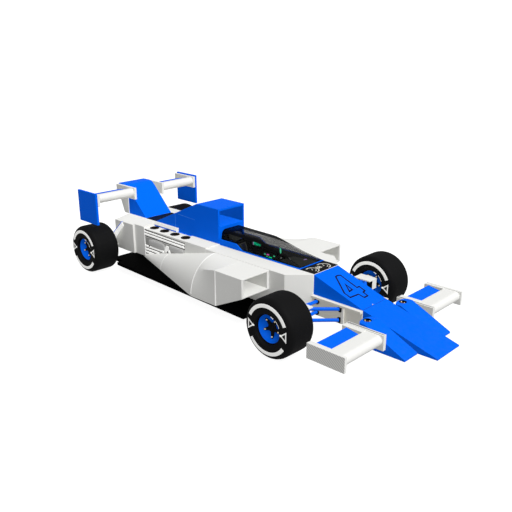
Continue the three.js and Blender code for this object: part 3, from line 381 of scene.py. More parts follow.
def top_face(z):
    return Face((0, 0, z), (1, 0, 0), (0, 1, 0))


def side_face(y, side):
    """The car's own x and z, on a side that faces left (1) or right (-1)."""
    return Face((0, y, 0), (1, 0, 0), UP, (0, side, 0))


def front_face(x, facing=1):
    """The car's own y and z, on an end that faces forward (1) or back (-1)."""
    return Face((x, 0, 0), (0, 1, 0), UP, (facing, 0, 0))


def shares(steps):
    """From 0 to 1 in equal steps."""
    return [i / steps for i in range(steps + 1)]


def turns(count):
    """As many angles, in equal steps, once round."""
    return [math.tau * i / count for i in range(count)]


def arc(centre_u, centre_v, radius, start, end, steps, radius_v=None):
    """Points along an arc, in degrees."""
    points = []
    for share in shares(steps):
        angle = math.radians(start + (end - start) * share)
        u = centre_u + radius * math.cos(angle)
        points.append((u, centre_v + (radius_v or radius) * math.sin(angle)))
    return points


def box_outline(u0, u1, v0, v1):
    return [(u0, v0), (u1, v0), (u1, v1), (u0, v1)]


def round_ring(centre, across, up, radius, sides):
    """Points round a centre, radius away."""
    ways = [across * math.cos(angle) + up * math.sin(angle) for angle in turns(sides)]
    return [centre + way * radius for way in ways]


def blunted(wave, power):
    """A sine or cosine with its sign kept and its size raised to a power."""
    return math.copysign(abs(wave) ** power, wave)


class Solid:
    """Closed bodies gathered into one piece."""

    def __init__(self):
        self.mesh = bmesh.new()
        self.skin = self.mesh.loops.layers.uv.new("skin")

    def rings(self, rings, looped=False):
        """Joins rings of as many points each. looped joins the last to the first."""
        made = [[self.mesh.verts.new(Vector(point) * MM) for point in ring] for ring in rings]
        count = len(made[0])
        pairs = list(zip(made, made[1:]))
        if looped:
            pairs.append((made[-1], made[0]))
        for k, (a, b) in enumerate(pairs):
            for i in range(count):
                j = (i + 1) % count
                face = self.mesh.faces.new((a[i], a[j], b[j], b[i]))
                corners = ((i, k), (i + 1, k), (i + 1, k + 1), (i, k + 1))
                for loop, (u, v) in zip(face.loops, corners):
                    loop[self.skin].uv = (u / count, v / len(pairs))
        if not looped:
            self.mesh.faces.new(made[0])
            self.mesh.faces.new(made[-1])
        return self

    def plate(self, face, outline, low, high):
        """An outline on a face, from one standoff to another."""
        return self.rings([[face.at(u, v, w) for u, v in outline] for w in (low, high)])

    def block(self, x0, x1, y0, y1, z0, z1):
        return self.plate(top_face(0), box_outline(x0, x1, y0, y1), z0, z1)

    def blocks(self, x0, x1, y0, y1, z0, z1):
        """The same block on each side of the car."""
        for side in BOTH:
            self.block(x0, x1, side * y0, side * y1, z0, z1)
        return self

    def band(self, face, points, width, low, high, closed=False):
        """A strip of one width along a line on a face, raised from low to high."""
        points = [Vector(point) for point in points]
        rings = []
        for i, point in enumerate(points):
            before = points[i - 1] if i or closed else point
            after = points[(i + 1) % len(points)] if i + 1 < len(points) or closed else point
            first = (point - before).normalized() or (after - point).normalized()
            second = (after - point).normalized() or first
            way = (first + second).normalized()
            reach = width / 2 / max(0.4, first.dot(way))
            normal = Vector((-way.y, way.x)) * reach
            near, far = point - normal, point + normal
            ends = ((near, low), (near, high), (far, high), (far, low))
            rings.append([face.at(*end, w) for end, w in ends])
        return self.rings(rings, looped=closed)

    def lathe(self, profile, centre, axis=UP, sides=48):
        """A profile of (radius, along) turned about an axis. It closes on the axis or on itself."""
        axis = Vector(axis).normalized()
        across = axis.orthogonal().normalized()
        up = axis.cross(across)
        rings = []
        for radius, along in profile:
            rings.append(round_ring(Vector(centre) + axis * along, across, up, radius, sides))
        return self.rings(rings, looped=profile[0][0] > 0)

    def tube(self, points, radius, sides=24):
        """A round bar along points, with radius a number or one for each point."""
        points = [Vector(point) for point in points]
        radii = radius if isinstance(radius, (list, tuple)) else [radius] * len(points)
        across = (points[1] - points[0]).orthogonal().normalized()
        rings = []
        for i, point in enumerate(points):
            way = points[min(i + 1, len(points) - 1)] - points[max(i - 1, 0)]
            up = way.cross(across).normalized()
            across = up.cross(way).normalized()
            rings.append(round_ring(point, across, up, radii[i], sides))
        return self.rings(rings)

    def raw_mesh(self, name):
        """The faces so far as a mesh, all facing outwards."""
        bmesh.ops.recalc_face_normals(self.mesh, faces=self.mesh.faces)
        return closed_mesh(name, self.mesh)

    def piece(self, name, finish, **how):
        """Closes the solid into a piece, placed as place_piece says."""
        bmesh.ops.remove_doubles(self.mesh, verts=self.mesh.verts, dist=0.001 * MM)
        return place_piece(name, self.raw_mesh(name), finish, **how)


def closed_mesh(name, shape):
    mesh = bpy.data.meshes.new(name)
    shape.to_mesh(mesh)
    shape.free()
    return mesh


def link(name, data):
    thing = bpy.data.objects.new(name, data)
    bpy.context.scene.collection.objects.link(thing)
    return thing


def turned(name, finish, profile, places, axis=UP, sides=20, **how):
    """The same turned part at each place, as one piece."""
    solid = Solid()
    for place in places:
        solid.lathe(profile, place, axis, sides)
    solid.piece(name, finish, sharp=50, **how)


def both(x, y, z):
    """A place on the left and the same on the right."""
    return [(x, y, z), (x, -y, z)]


def place_piece(name, mesh, finish, body="chassis", replaces=None, edge=0, sharp=35, slot=None):
    """Puts a mesh on its body in its finish, with its edges broken by edge."""
    if not mesh.materials:
        mesh.materials.append(finish.material)
    mesh.shade_smooth()
    mesh.set_sharp_from_angle(angle=math.radians(sharp))
    piece = link(name, mesh)
    # Blue paint is kept from tinting the white bodywork beside it.
    piece.visible_diffuse = finish not in BLEEDING
    if edge:
        bevel = piece.modifiers.new("edge", "BEVEL")
        bevel.width = edge * MM
        bevel.segments = 2
        bevel.limit_method = "ANGLE"
        bevel.angle_limit = math.radians(sharp)
        weigh = piece.modifiers.new("weigh", "WEIGHTED_NORMAL")
        weigh.keep_sharp = True
    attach(piece, body)
    if replaces:
        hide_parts(replaces)
    return piece


def panel(node, finish, edge, **how):
    """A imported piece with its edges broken, standing in for it."""
    shape = bmesh.new()
    shape.from_mesh(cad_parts[node].data)
    bmesh.ops.remove_doubles(shape, verts=shape.verts, dist=0.02 * MM)
    flat = math.radians(0.6)
    bmesh.ops.dissolve_limit(shape, angle_limit=flat, verts=shape.verts, edges=shape.edges)
    name = f"{node}_skin"
    place_piece(name, closed_mesh(name, shape), finish, replaces=node, edge=edge, **how)


# ---- repeated pieces
def stud_shape(graph, sizes):
    """A low round head with a smaller top."""
    inputs = {
        "Vertices": 12,
        "Radius Top": sizes["Width"] * 0.36,
        "Radius Bottom": sizes["Width"] * 0.5,
        "Depth": sizes["Height"],
    }
    return graph.add("GeometryNodeMeshCone", None, inputs)


def whole_size(graph, sizes):
    parts = (sizes["Length"], sizes["Width"], sizes["Height"])
    return graph.add("ShaderNodeCombineXYZ", None, parts)


def slat_shape(graph, sizes):
    """A flat bar along the run."""
    return graph.add("GeometryNodeMeshCube", None, {"Size": whole_size(graph, sizes)})


def stitch_shape(graph, sizes):
    """A short thread, lying along the run, with round ends."""
    inputs = {"Segments": 8, "Rings": 5, "Radius": 0.5}
    bead = graph.add("GeometryNodeMeshUVSphere", None, inputs)
    inputs = {"Geometry": bead, "Scale": whole_size(graph, sizes)}
    return graph.add("GeometryNodeTransform", None, inputs)


def row_tree(name, shape):
    """A tree that sets one shape along every run, turned to the run and its facing."""
    tree = bpy.data.node_groups.new(name, "GeometryNodeTree")
    graph = Graph(tree)
    lengths = ("Spacing", "Length", "Width", "Height")
    kinds = {"Geometry": "Geometry", **dict.fromkeys(lengths, "Float"), "Material": "Material"}
    for socket, kind in kinds.items():
        tree.interface.new_socket(socket, in_out="INPUT", socket_type=f"NodeSocket{kind}")
    tree.interface.new_socket("Geometry", in_out="OUTPUT", socket_type="NodeSocketGeometry")
    given = graph.add("NodeGroupInput")
    sizes = {size: given.other(size) for size in lengths}
    curve = graph.add("GeometryNodeMeshToCurve", None, (given,))
    inputs = {"Curve": curve, "Length": sizes["Spacing"]}
    points = graph.add("GeometryNodeCurveToPoints", {"mode": "LENGTH"}, inputs)
    named = {"data_type": "FLOAT_VECTOR"}
    facing = graph.add("GeometryNodeInputNamedAttribute", named, ("facing",))
    align = "FunctionNodeAlignRotationToVector"
    along = graph.add(align, {"axis": "X"}, {"Vector": points.other("Tangent")})
    inputs = {"Rotation": along, "Vector": facing}
    rotation = graph.add(align, {"axis": "Z", "pivot_axis": "X"}, inputs)
    inputs = {"Points": points, "Instance": shape(graph, sizes), "Rotation": rotation}
    rows = graph.add("GeometryNodeInstanceOnPoints", None, inputs)
    solid = graph.add("GeometryNodeRealizeInstances", None, (rows,))
    inputs = {"Geometry": solid, "Material": given.other("Material")}
    finished = graph.add("GeometryNodeSetMaterial", None, inputs)
    output = tree.nodes.new("NodeGroupOutput")
    tree.links.new(finished.socket, output.inputs[0])
    return tree


STUD_ROW = row_tree("stud_row", stud_shape)
SLAT_ROW = row_tree("slat_row", slat_shape)
STITCH_ROW = row_tree("stitch_row", stitch_shape)


def guide_lines(name, runs):
    """Loose edges along runs of (points, facing), each point with the way it faces."""
    mesh = bpy.data.meshes.new(name)
    points, edges, facings = [], [], []
    for run, facing in runs:
        first = len(points)
        points += [tuple(Vector(point) * MM) for point in run]
        edges += [(first + i, first + i + 1) for i in range(len(run) - 1)]
        facings += [component for _ in run for component in facing]
    mesh.from_pydata(points, edges, [])
    layer = mesh.attributes.new("facing", "FLOAT_VECTOR", "POINT")
    layer.data.foreach_set("vector", facings)
    return link(name, mesh)


def row(name, tree, runs, finish, **sizes):
    """Sets a tree's shape along runs on the chassis, and makes the result a plain piece."""
    guide = guide_lines(f"{name}_guide", runs)
    modifier = guide.modifiers.new("rows", "NODES")
    modifier.node_group = tree
    given = {"Length": 0.0, **{size.capitalize(): value * MM for size, value in sizes.items()}}
    given["Material"] = finish.material
    for socket in tree.interface.items_tree:
        if socket.in_out == "INPUT" and socket.name in given:
            modifier[socket.identifier] = given[socket.name]
    mesh = evaluated_mesh(guide)
    mesh.name = name
    guide.modifiers.remove(modifier)
    bpy.data.objects.remove(guide)
    place_piece(name, mesh, finish).visible_diffuse = True


def evaluated_mesh(piece):
    graph = bpy.context.evaluated_depsgraph_get()
    return bpy.data.meshes.new_from_object(piece.evaluated_get(graph))


# ---- bodywork
MIDDLE_PANELS = (
    ("tub", white), ("keel", cream), ("nose_cone", blue), ("nose_tip", blue),
    ("cockpit_rim", blue), ("dash_panel", satin), ("engine_cover", blue), ("rear_body", white),
    ("wing_pylon", blue), ("pylon_fairing", white), ("floor", carbon), ("engine", cast),
)
SIDE_PANELS = (
    ("front_wing", white), ("front_flap", blue), ("front_endplate", hatched_white),
    ("rear_wing", white), ("rear_flap", blue), ("rear_endplate", blue),
    ("sidepod_inlet", white), ("exhaust", scorched_metal),
)
THIN_EDGED = ("cockpit_rim", "dash_panel")


def bodywork():
    """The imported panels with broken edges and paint, and the sidepods' smooth skins."""
    for node, finish in MIDDLE_PANELS:
        panel(node, finish, 1.5 if node in THIN_EDGED else 3)
    for word, _ in SIDES:
        for node, finish in SIDE_PANELS:
            panel(f"{node}_{word}", finish, 3)
        panel(f"knuckle_{word}", white, 3, slot="upright_white", body=f"steering_{word}")
    for word, side in SIDES:
        sidepod(word, side)


POD_ROUND_X = -170
POD_ROUND_WIDTH = 368
POD_ROUND_BOTTOM = 195
POD_STEPS = 24
# The sidepod's two pale lines glow along its creases: painted highlights.
POD_HIGHLIGHT_LINES = (("front", 0, 1.0, 9), ("rear", 1, 0.62, 3.5))  # section, share along, width
HIGHLIGHT_LINE_SECTION = ((-0.5, -1), (-0.5, 0.8), (0.5, 0.8), (0.5, -1))


def pod_sections(word):
    """The sidepod's three sections: square at the inlet, then quarter rounds."""
    pod = span(f"sidepod_{word}")
    corners = [vertex.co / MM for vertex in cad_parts[f"sidepod_{word}"].data.vertices]
    tail = [corner for corner in corners if corner.x < pod.x0 + 1]
    tail_width = max(abs(corner.y) for corner in tail) - pod.inner
    tail_low = min(corner.z for corner in tail)
    tail_top = max(corner.z for corner in tail)
    inlet_low = span(f"sidepod_inlet_{word}").z0

    def section(x, width, low, top, round):
        return SimpleNamespace(inner=pod.inner, x=x, width=width, low=low, top=top, round=round)

    return [
        section(pod.x1, pod.outer - pod.inner, inlet_low, pod.z1, 0),
        section(POD_ROUND_X, POD_ROUND_WIDTH, POD_ROUND_BOTTOM, pod.z1, 1),
        section(pod.x0, tail_width, tail_low, tail_top, 1),
    ]


def pod_corner(section, share):
    """A point on a section's outer edge, from its top (0) to its foot (1)."""
    turn = share * math.pi / 2
    square = Vector((min(1, 2 * share), min(1, 2 - 2 * share)))
    across, up = square.lerp((math.sin(turn), math.cos(turn)), section.round)
    height = section.low + (section.top - section.low) * up
    return Vector((section.x, section.inner + section.width * across, height))


def sidepod(word, side):
    """One sidepod's skin, ruled between its sections, and two glowing pale lines along its creases, painted
    highlights.
    """
    sections = pod_sections(word)
    mirrored = Vector((1, side, 1))

    def ruled(bay, share, corner):
        start, end = (pod_corner(section, corner) for section in sections[bay : bay + 2])
        return start.lerp(end, share) * mirrored

    rings = []
    for bay, first in ((0, 0), (1, 1)):
        front, rear = sections[bay : bay + 2]
        for share in shares(POD_STEPS)[first:]:
            ring = [ruled(bay, share, corner) for corner in shares(POD_STEPS)]
            low = front.low + (rear.low - front.low) * share
            rings.append([Vector((ring[0].x, side * front.inner, low))] + ring)
    name = f"sidepod_{word}"
    Solid().rings(rings).piece(f"{name}_shell", white, replaces=name, edge=2)
    for kind, bay, share, width in POD_HIGHLIGHT_LINES:
        edge = [ruled(bay, share, corner) for corner in shares(POD_STEPS)[1:-1]]
        centre = Vector((edge[0].x, side * sections[0].inner, edge[-1].z))
        rings = []
        for point in edge:
            out = (point - centre).normalized()
            rings.append([point + Vector((dx * width, 0, 0)) + out * w for dx, w in HIGHLIGHT_LINE_SECTION])
        Solid().rings(rings).piece(f"{name}_{kind}_seam", glowing_highlight_white)


# ---- nose
FOUR_OUTLINE = (
    (127, -2), (123, 37), (134, 67), (355, 58), (357, 96), (430, 93),
    (437, 55), (497, 51), (500, -8), (436, -22), (430, -147), (355, -145),
)
FOUR_WINDOW = ((265, -14), (361, -71), (356, -18))
NUMBER_LINE = 16
CATCH_Y = -24
CATCH_HEAD = ((0, -2), (6, -2), (6, 1), (4.5, 2.4), (0, 2.8))
HOLE_PLACE = (1735, 296.5, 366)
HOLE_RADIUS = 38
HOLE_LINER = ((-1.5, -100), (-1.5, 1), (-0.2, 1), (-0.2, -102))  # radius less the hole's own
HOLE_PIN = ((0, -100), (11, -100), (11, -22), (17, -22), (17, -12), (13, -8), (0, -8))
KEEPER_HEAD = ((0, -60), (6, -60), (6, -3), (4, -1), (0, -1))
KEEPER_SHIFTS = ((-21, 8), (22, -6))


def nose():
    """The racing number, a dark blue strip on the joint of cone and tip as its painted shade, a catch, and
    the flanks' sockets.
    """
    cone = span("nose_cone")
    tip = span("nose_tip")
    slope = Face((cone.x0, 0, cone.z1), (cone.x1 - cone.x0, 0, tip.z1 - cone.z1), (0, 1, 0))
    number = Solid()
    for outline in (FOUR_OUTLINE, FOUR_WINDOW):
        number.band(slope, outline, NUMBER_LINE, -0.5, 0.6, closed=True)
    number.piece("nose_number", navy_line)
    half = (cone.y1 - cone.y0) / 2
    # A dark blue strip over the joint: painted shade.
    highlight = Solid().block(tip.x0 - 3, tip.x0 + 1, -half, half, tip.z1 - 2, tip.z1 + 0.6)
    highlight.piece("nose_seam_shade", seam_shade_blue)
    place = (tip.x0 - 9, CATCH_Y, tip.z1 + 3.4)
    turned("nose_catches", cream_pin, CATCH_HEAD, [place], slope.out, slot="body_blue")
    x, y, z = HOLE_PLACE
    wall = [(HOLE_RADIUS + r, a) for r, a in HOLE_LINER] + [(0, -102), (0, -100)]
    turned("nose_sockets", satin, wall, both(x, y, z), sides=40)
    turned("nose_pins", brass, HOLE_PIN, both(x, y, z), sides=24)
    keepers = [place for dx, dy in KEEPER_SHIFTS for place in both(x + dx, y + dy, z)]
    turned("nose_keepers", cream_pin, KEEPER_HEAD, keepers, sides=16)


# ---- dash
SEGMENTS = {"0": "abcdef", "1": "bc", "2": "abged"}
SEGMENT_ENDS = {  # from and to, in half heights and widths of a numeral
    "a": ((1, 0), (1, 1)), "b": ((1, 1), (0, 1)), "c": ((0, 1), (-1, 1)), "d": ((-1, 0), (-1, 1)),
    "e": ((0, 0), (-1, 0)), "f": ((1, 0), (0, 0)), "g": ((0, 0), (0, 1)),
}
READING = "120"
READING_X = 936
READING_Y = 30
READING_PITCH = 27
NUMERAL_HALF = 22
NUMERAL_WIDTH = 16
PRINT_LOW = -0.4
PRINT_HIGH = 0.8
GAUGE_X = 942
GAUGES = ((-118, 64), (62, 66))  # y and radius
GAUGE_BOSS = ((0, 0), (6, 0), (5, 2), (0, 2))
NEEDLE_TURN = math.radians(150)


def dash_gauges():
    """Two round gauges and a readout on the panel ahead of the canopy."""
    face = top_face(span("dash_panel").z1)
    prints, needles = Solid(), Solid()
    for y, radius in GAUGES:
        for less, start, end, steps, width in ((0, 205, -5, 30, 10), (26, 70, -5, 12, 6)):
            ring = arc(GAUGE_X, y, radius - less, start, end, steps)
            prints.band(face, ring, width, PRINT_LOW, PRINT_HIGH)
        reach = radius - 16
        tip = (GAUGE_X + reach * math.cos(NEEDLE_TURN), y + reach * math.sin(NEEDLE_TURN))
        needles.band(face, [(GAUGE_X, y), tip], 2.4, PRINT_LOW, 2 * PRINT_HIGH)
        prints.lathe(GAUGE_BOSS, face.at(GAUGE_X, y), UP, 20)
    for i, sign in enumerate(READING):
        for segment in SEGMENTS[sign]:
            points = [
                (READING_X + up * NUMERAL_HALF, READING_Y - READING_PITCH * i - across * NUMERAL_WIDTH)
                for up, across in SEGMENT_ENDS[segment]
            ]
            prints.band(face, points, 5, PRINT_LOW, PRINT_HIGH)
    prints.piece("dash_prints", dial_print)
    needles.piece("dash_needles", dial_print)
    bezel = Solid().band(face, box_outline(880, 972, -42, 38), 2, PRINT_LOW, PRINT_HIGH, closed=True)
    bezel.piece("dash_bezel", trim)


# ---- cockpit
OPENING_REAR_X = -318
OPENING_FRONT_X = 822
WALL_Y = 158  # the inner side of the opening's lining
COCKPIT_FLOOR = 245
LINING = 1.6
RIM_FOOT = 606
SHOULDER_TOP = 660.6
SHOULDER_FRONT_X = 17
SHOULDER_KNEE_X = -73


def cockpit_liner():
    """Black lining of the opening, the shoulders' inner sides, and the canopy's seal."""
    low = COCKPIT_FLOOR + 0.2
    top = span("cockpit_rim").z0 + 8
    rear = OPENING_REAR_X + 0.4
    front = OPENING_FRONT_X - 0.4
    liner = Solid()
    liner.blocks(rear, front, WALL_Y, WALL_Y + LINING, low, top)
    liner.blocks(rear, front + 6, 170.2, 177.4, RIM_FOOT - 1.4, RIM_FOOT + 0.4)
    shoulder = [(rear, RIM_FOOT), (rear, SHOULDER_TOP)]
    shoulder += [(SHOULDER_KNEE_X, SHOULDER_TOP), (SHOULDER_FRONT_X, RIM_FOOT)]
    for side in BOTH:
        liner.plate(side_face(side * 175.4, side), shoulder, 0, LINING)
    for x in (rear, front - LINING):
        liner.block(x, x + LINING, -WALL_Y, WALL_Y, low, top)
    liner.block(rear, front, -WALL_Y, WALL_Y, low, low + LINING)
    liner.piece("cockpit_liner", black)


def bulkhead():
    """The dark arch behind the driver, just inside the canopy's rear end, and its lip."""
    lid = span("canopy")
    face = front_face(span("engine_cover").x1)
    plate = Solid().plate(face, whole_arch(lid, lid.x0, 3, 14), 0.4, 2.4)
    plate.piece("bulkhead_arch", satin)
    lip = Solid().tube([face.at(y, z, 3) for y, z in whole_arch(lid, lid.x0, 16, 14)], 3, 10)
    lip.piece("bulkhead_lip", black, sharp=60)


COWL_REAR = (470, 575)  # x and z of the cowl's edges
COWL_FRONT = (OPENING_FRONT_X - 4, 600)
COWL_HALF = 156
COWL_CROWN = 14


def cowl():
    """The sloping cowl over the driver's legs, and the panel at its rear edge."""
    rear_x, rear_z = COWL_REAR
    run, rise = COWL_FRONT[0] - rear_x, COWL_FRONT[1] - rear_z
    rings = []
    for x in (rear_x, rear_x + 30, rear_x + run):
        z = rear_z + rise * (x - rear_x) / run
        crown = arc(0, z - COWL_CROWN, COWL_HALF, 180, 0, 16, COWL_CROWN)
        under = [(y, v - 4) for y, v in reversed(crown)]
        rings.append([(x, y, v) for y, v in crown + under])
    Solid().rings(rings).piece("cowl_top", cowl_skin, sharp=40)
    dash = Solid().plate(front_face(rear_x, -1), box_outline(-COWL_HALF, COWL_HALF, 508, 560), -6, 0)
    dash.piece("cowl_dash", black, edge=1.5)
    slope = Face((rear_x, 0, rear_z), (run, 0, rise), (0, 1, 0))
    rib = Solid().band(slope, [(8, 60), (150, -60)], 4, -8, 1.5)
    rib.piece("cowl_rib", grey, slot="cockpit_black")
    tag = Solid().plate(slope, box_outline(186, 196, 84, 126), -6, 2)
    tag.piece("cowl_lamp", lilac)


# Plates on the walls: x0, x1, z0, z1 and how far they stand off.
SIDE_TRIMS = ((-8, 205, 543, 599, 5), (-168, -24, 560, 604, 6), (30, 205, 452, 518, 7))
SIDE_SLOTS_X = ((8, 40), (52, 84), (92, 124), (134, 166))
SIDE_SWITCHES_X = (60, 90, 120, 150)
SWITCH_STEM = ((0, 0), (5, 0), (4, 9), (0, 10))
WALL_LAMPS = (
    ("screen", teal, ((-136, -33, 566, 600, 9),)),
    ("screen_edge", lilac, ((-148, -138, 562, 596, 9),)),
    ("switch_teal", mint, ((32, 52, 488, 500, 14), (172, 192, 494, 506, 14))),
    ("switch_magenta", magenta, ((72, 104, 490, 504, 16),)),
    ("switch_green", green, ((106, 146, 463, 477, 20), (60, 84, 470, 478, 12))),
)
SCREEN_MARKS = ((-122, 574), (-92, 590), (-66, 572), (-60, 592))  # x and z of each mark's start
LEVER_GRIP = ((278, 146, 552), (277, 148, 570), (275, 149, 590), (272, 149, 608), (271, 149, 620))
LEVER_RADII = (4, 8, 9, 6, 2)
LEVER_FOOT = ((0, 0), (13, 0), (13, 10), (10, 14), (0, 14))


def cockpit_fittings():
    """Side panels, a screen, switches and a lever on the cockpit's walls."""
    trims, slots = Solid(), Solid()
    for x0, x1, z0, z1, depth in SIDE_TRIMS:
        trims.blocks(x0, x1, WALL_Y, WALL_Y - depth, z0, z1)
    for x0, x1 in SIDE_SLOTS_X:
        slots.blocks(x0, x1, WALL_Y - 5, WALL_Y - 6.5, 566, 580)
    for side in BOTH:
        for x in SIDE_SWITCHES_X:
            slots.lathe(SWITCH_STEM, (x, side * 151, 462), (0, -side, 0), 16)
    trims.piece("side_trims", trim, edge=1.5)
    slots.piece("side_slots", satin)
    for name, finish, plates in WALL_LAMPS:
        lamps = Solid()
        for x0, x1, z0, z1, depth in plates:
            lamps.block(x0, x1, WALL_Y - depth, WALL_Y, z0, z1)
        lamps.piece(name, finish, edge=1.5)
    marks = Solid()
    for x, z in SCREEN_MARKS:
        marks.tube([(x, 149, z), (x + 12, 148, z + 6), (x + 24, 148, z - 3)], 3.2, 8)
    marks.piece("screen_marks", satin)
    lever = Solid().tube(LEVER_GRIP, LEVER_RADII, 16)
    lever.piece("lever_grip", mint, sharp=60)
    stem = Solid().tube([(282, 140, 500), (278, 146, 554)], 3.5, 12)
    stem.lathe(LEVER_FOOT, (282, 157, 500), (0, -1, 0), 24)
    stem.piece("lever_stem", steel, sharp=50)


# ---- driver's wheel
WHEEL_CENTRE = Vector((395, 0, 520))
WHEEL_RAKE = math.radians(22)
WHEEL_RADIUS = 105
WHEEL_GRIP = 12.5
WHEEL_SPOKES = (0, 180, 270)
COLUMN_END_X = 852
HUB_OUTLINE = ((-52, -26), (52, -26), (60, 0), (52, 30), (30, 38), (-30, 38), (-52, 30), (-60, 0))
WHEEL_BOSS = ((0, -60), (24, -60), (26, -56), (30, -16), (30, -10), (0, -10))
BUTTON = ((0, 6), (5, 6), (5, 12), (4, 13.5), (0, 13.5))
BUTTON_PLACES = ((44, 18), (48, 2), (42, -15))


def driver_wheel():
    """A padded rim, three spokes, a hub with buttons, and the column."""
    up = Vector((math.sin(WHEEL_RAKE), 0, math.cos(WHEEL_RAKE)))
    face = Face(WHEEL_CENTRE, (0, -1, 0), up)
    rings = []
    for angle in turns(64):
        way = face.across * math.cos(angle) + face.up * math.sin(angle)
        thick = WHEEL_GRIP * (0.86 + 0.14 * abs(math.cos(angle)))
        rings.append(round_ring(WHEEL_CENTRE + way * WHEEL_RADIUS, way, face.out, thick, 14))
    rim_ring = Solid().rings(rings, looped=True)
    rim_ring.piece("driver_rim", grip, body="driver_wheel", replaces="steering_wheel", sharp=60)
    hub = Solid()
    for way in map(math.radians, WHEEL_SPOKES):
        ends = [(r * math.cos(way), r * math.sin(way)) for r in (30, 98)]
        hub.band(face, ends, 22, -6, 3)
    hub.plate(face, HUB_OUTLINE, -12, 8)
    column = (COLUMN_END_X - WHEEL_CENTRE.x) / math.cos(WHEEL_RAKE)
    hub.tube([face.at(0, 0, -8), face.at(0, 0, -column)], 14)
    hub.lathe(WHEEL_BOSS, WHEEL_CENTRE, face.out, 32)
    hub.piece("driver_hub", black, body="driver_wheel", edge=1.2)
    places = [face.at(side * u, v) for u, v in BUTTON_PLACES for side in BOTH]
    turned("driver_buttons", trim, BUTTON, places, face.out, 16, body="driver_wheel")
    screen = Solid().plate(face, box_outline(-26, 26, 4, 30), 6, 9)
    screen.piece("driver_screen", dim, body="driver_wheel", edge=1)


# ---- seat
SEAT_HALF = 148
SEAT_SHELL = ((-290, 246), (330, 246), (330, 336), (-120, 276), (-260, 600), (-290, 600))
SEAT_WING = ((-290, 247), (330, 247), (330, 352), (-84, 330), (-212, 596), (-290, 600))
CUSHION_HALF = SEAT_HALF - 18
CUSHION_LOW = 3
CUSHION_HIGH = 27
CUSHION_STEPS = 36
CHANNEL = 7  # a sewn channel's reach and depth
BASE = Face((-104, 0, 282), (430, 0, 57), (0, 1, 0))
BACK = Face((-126, 0, 292), (-134, 0, 308), (0, 1, 0))
BACK.out = -BACK.out
# Each cushion's face, its ends along it, and its channels as shares of its length.
CUSHIONS = (
    ("seat_cushion", BASE, 10, 416, (0.34, 0.66)),
    ("seat_back", BACK, 26, 318, (0.3, 0.62)),
)
HEAD_PAD_CENTRE = (-280, 668)
HEAD_PAD_RADIUS = 90
HEAD_PAD_HEIGHT = 54
HEAD_PAD_DOME = ((0, 0.8), (0.06, 0.92), (0.3, 1.0), (0.6, 0.98), (0.85, 0.84), (1, 0.5))
VOXEL = 5


def seat():
    shell = Solid().plate(side_face(0, 1), SEAT_SHELL, 12 - SEAT_HALF, SEAT_HALF - 12)
    for side in BOTH:
        shell.plate(side_face(0, side), SEAT_WING, SEAT_HALF - 13, SEAT_HALF)
    shell.piece("seat_shell", black, replaces="seat", edge=4)
    runs = []
    for name, face, start, end, channels in CUSHIONS:
        cushion(name, face, start, end, channels)
        for u in (start + (end - start) * channel for channel in channels):
            for shift in (-9, 9):
                points = [face.at(u + shift, v, 27.5) for v in (-0.8 * CUSHION_HALF, 0, 0.8 * CUSHION_HALF)]
                runs.append((points, face.out))
    head_pad()
    harness()
    row("seat_stitching", STITCH_ROW, runs, dial_print, spacing=7, length=5, width=1.4, height=1.4)


def cushion(name, face, start, end, channels):
    """A crowned pad on a face, its sides drawn in, swollen and then given its sewn channels."""
    middle = (CUSHION_LOW + CUSHION_HIGH) / 2
    rings = []
    for along in shares(CUSHION_STEPS):
        full = math.sin(math.pi * min(max(along, 0.02), 0.98)) ** 0.28
        half = CUSHION_HALF * (1 - 0.05 * math.sin(math.pi * along) ** 2) * (0.94 + 0.06 * full)
        depth = (CUSHION_HIGH - CUSHION_LOW) / 2 * full
        ring = []
        for turn in turns(CUSHION_STEPS):
            v = half * blunted(math.cos(turn), 0.45)
            rise = depth * blunted(math.sin(turn), 0.6)
            ring.append(face.at(start + (end - start) * along, v, middle + rise))
        rings.append(ring)
    mesh = swollen(f"{name}_fill", rings, 8)
    for vertex in mesh.vertices:
        offset = vertex.co / MM - face.origin
        if offset.dot(face.out) <= middle:
            continue
        for channel in channels:
            past = offset.dot(face.across) - start - (end - start) * channel
            vertex.co -= face.out * CHANNEL * MM * math.exp(-((past / CHANNEL) ** 2))
    padded(name, mesh)


def head_pad():
    """The domed pad behind the driver's head."""
    x, z = HEAD_PAD_CENTRE
    rings = []
    for share, size in HEAD_PAD_DOME:
        ring = []
        for turn in turns(28):
            y = blunted(math.cos(turn), 0.8) * HEAD_PAD_RADIUS * size
            ring.append((x - 22 + share * 62, y, z + math.sin(turn) * HEAD_PAD_HEIGHT * size))
        rings.append(ring)
    padded("head_pad", swollen("head_pad_fill", rings, 5))


def padded(name, mesh):
    piece = place_piece(name, mesh, seat_cloth, sharp=80)
    smooth = piece.modifiers.new("round", "SUBSURF")
    smooth.levels = 1
    smooth.render_levels = 1


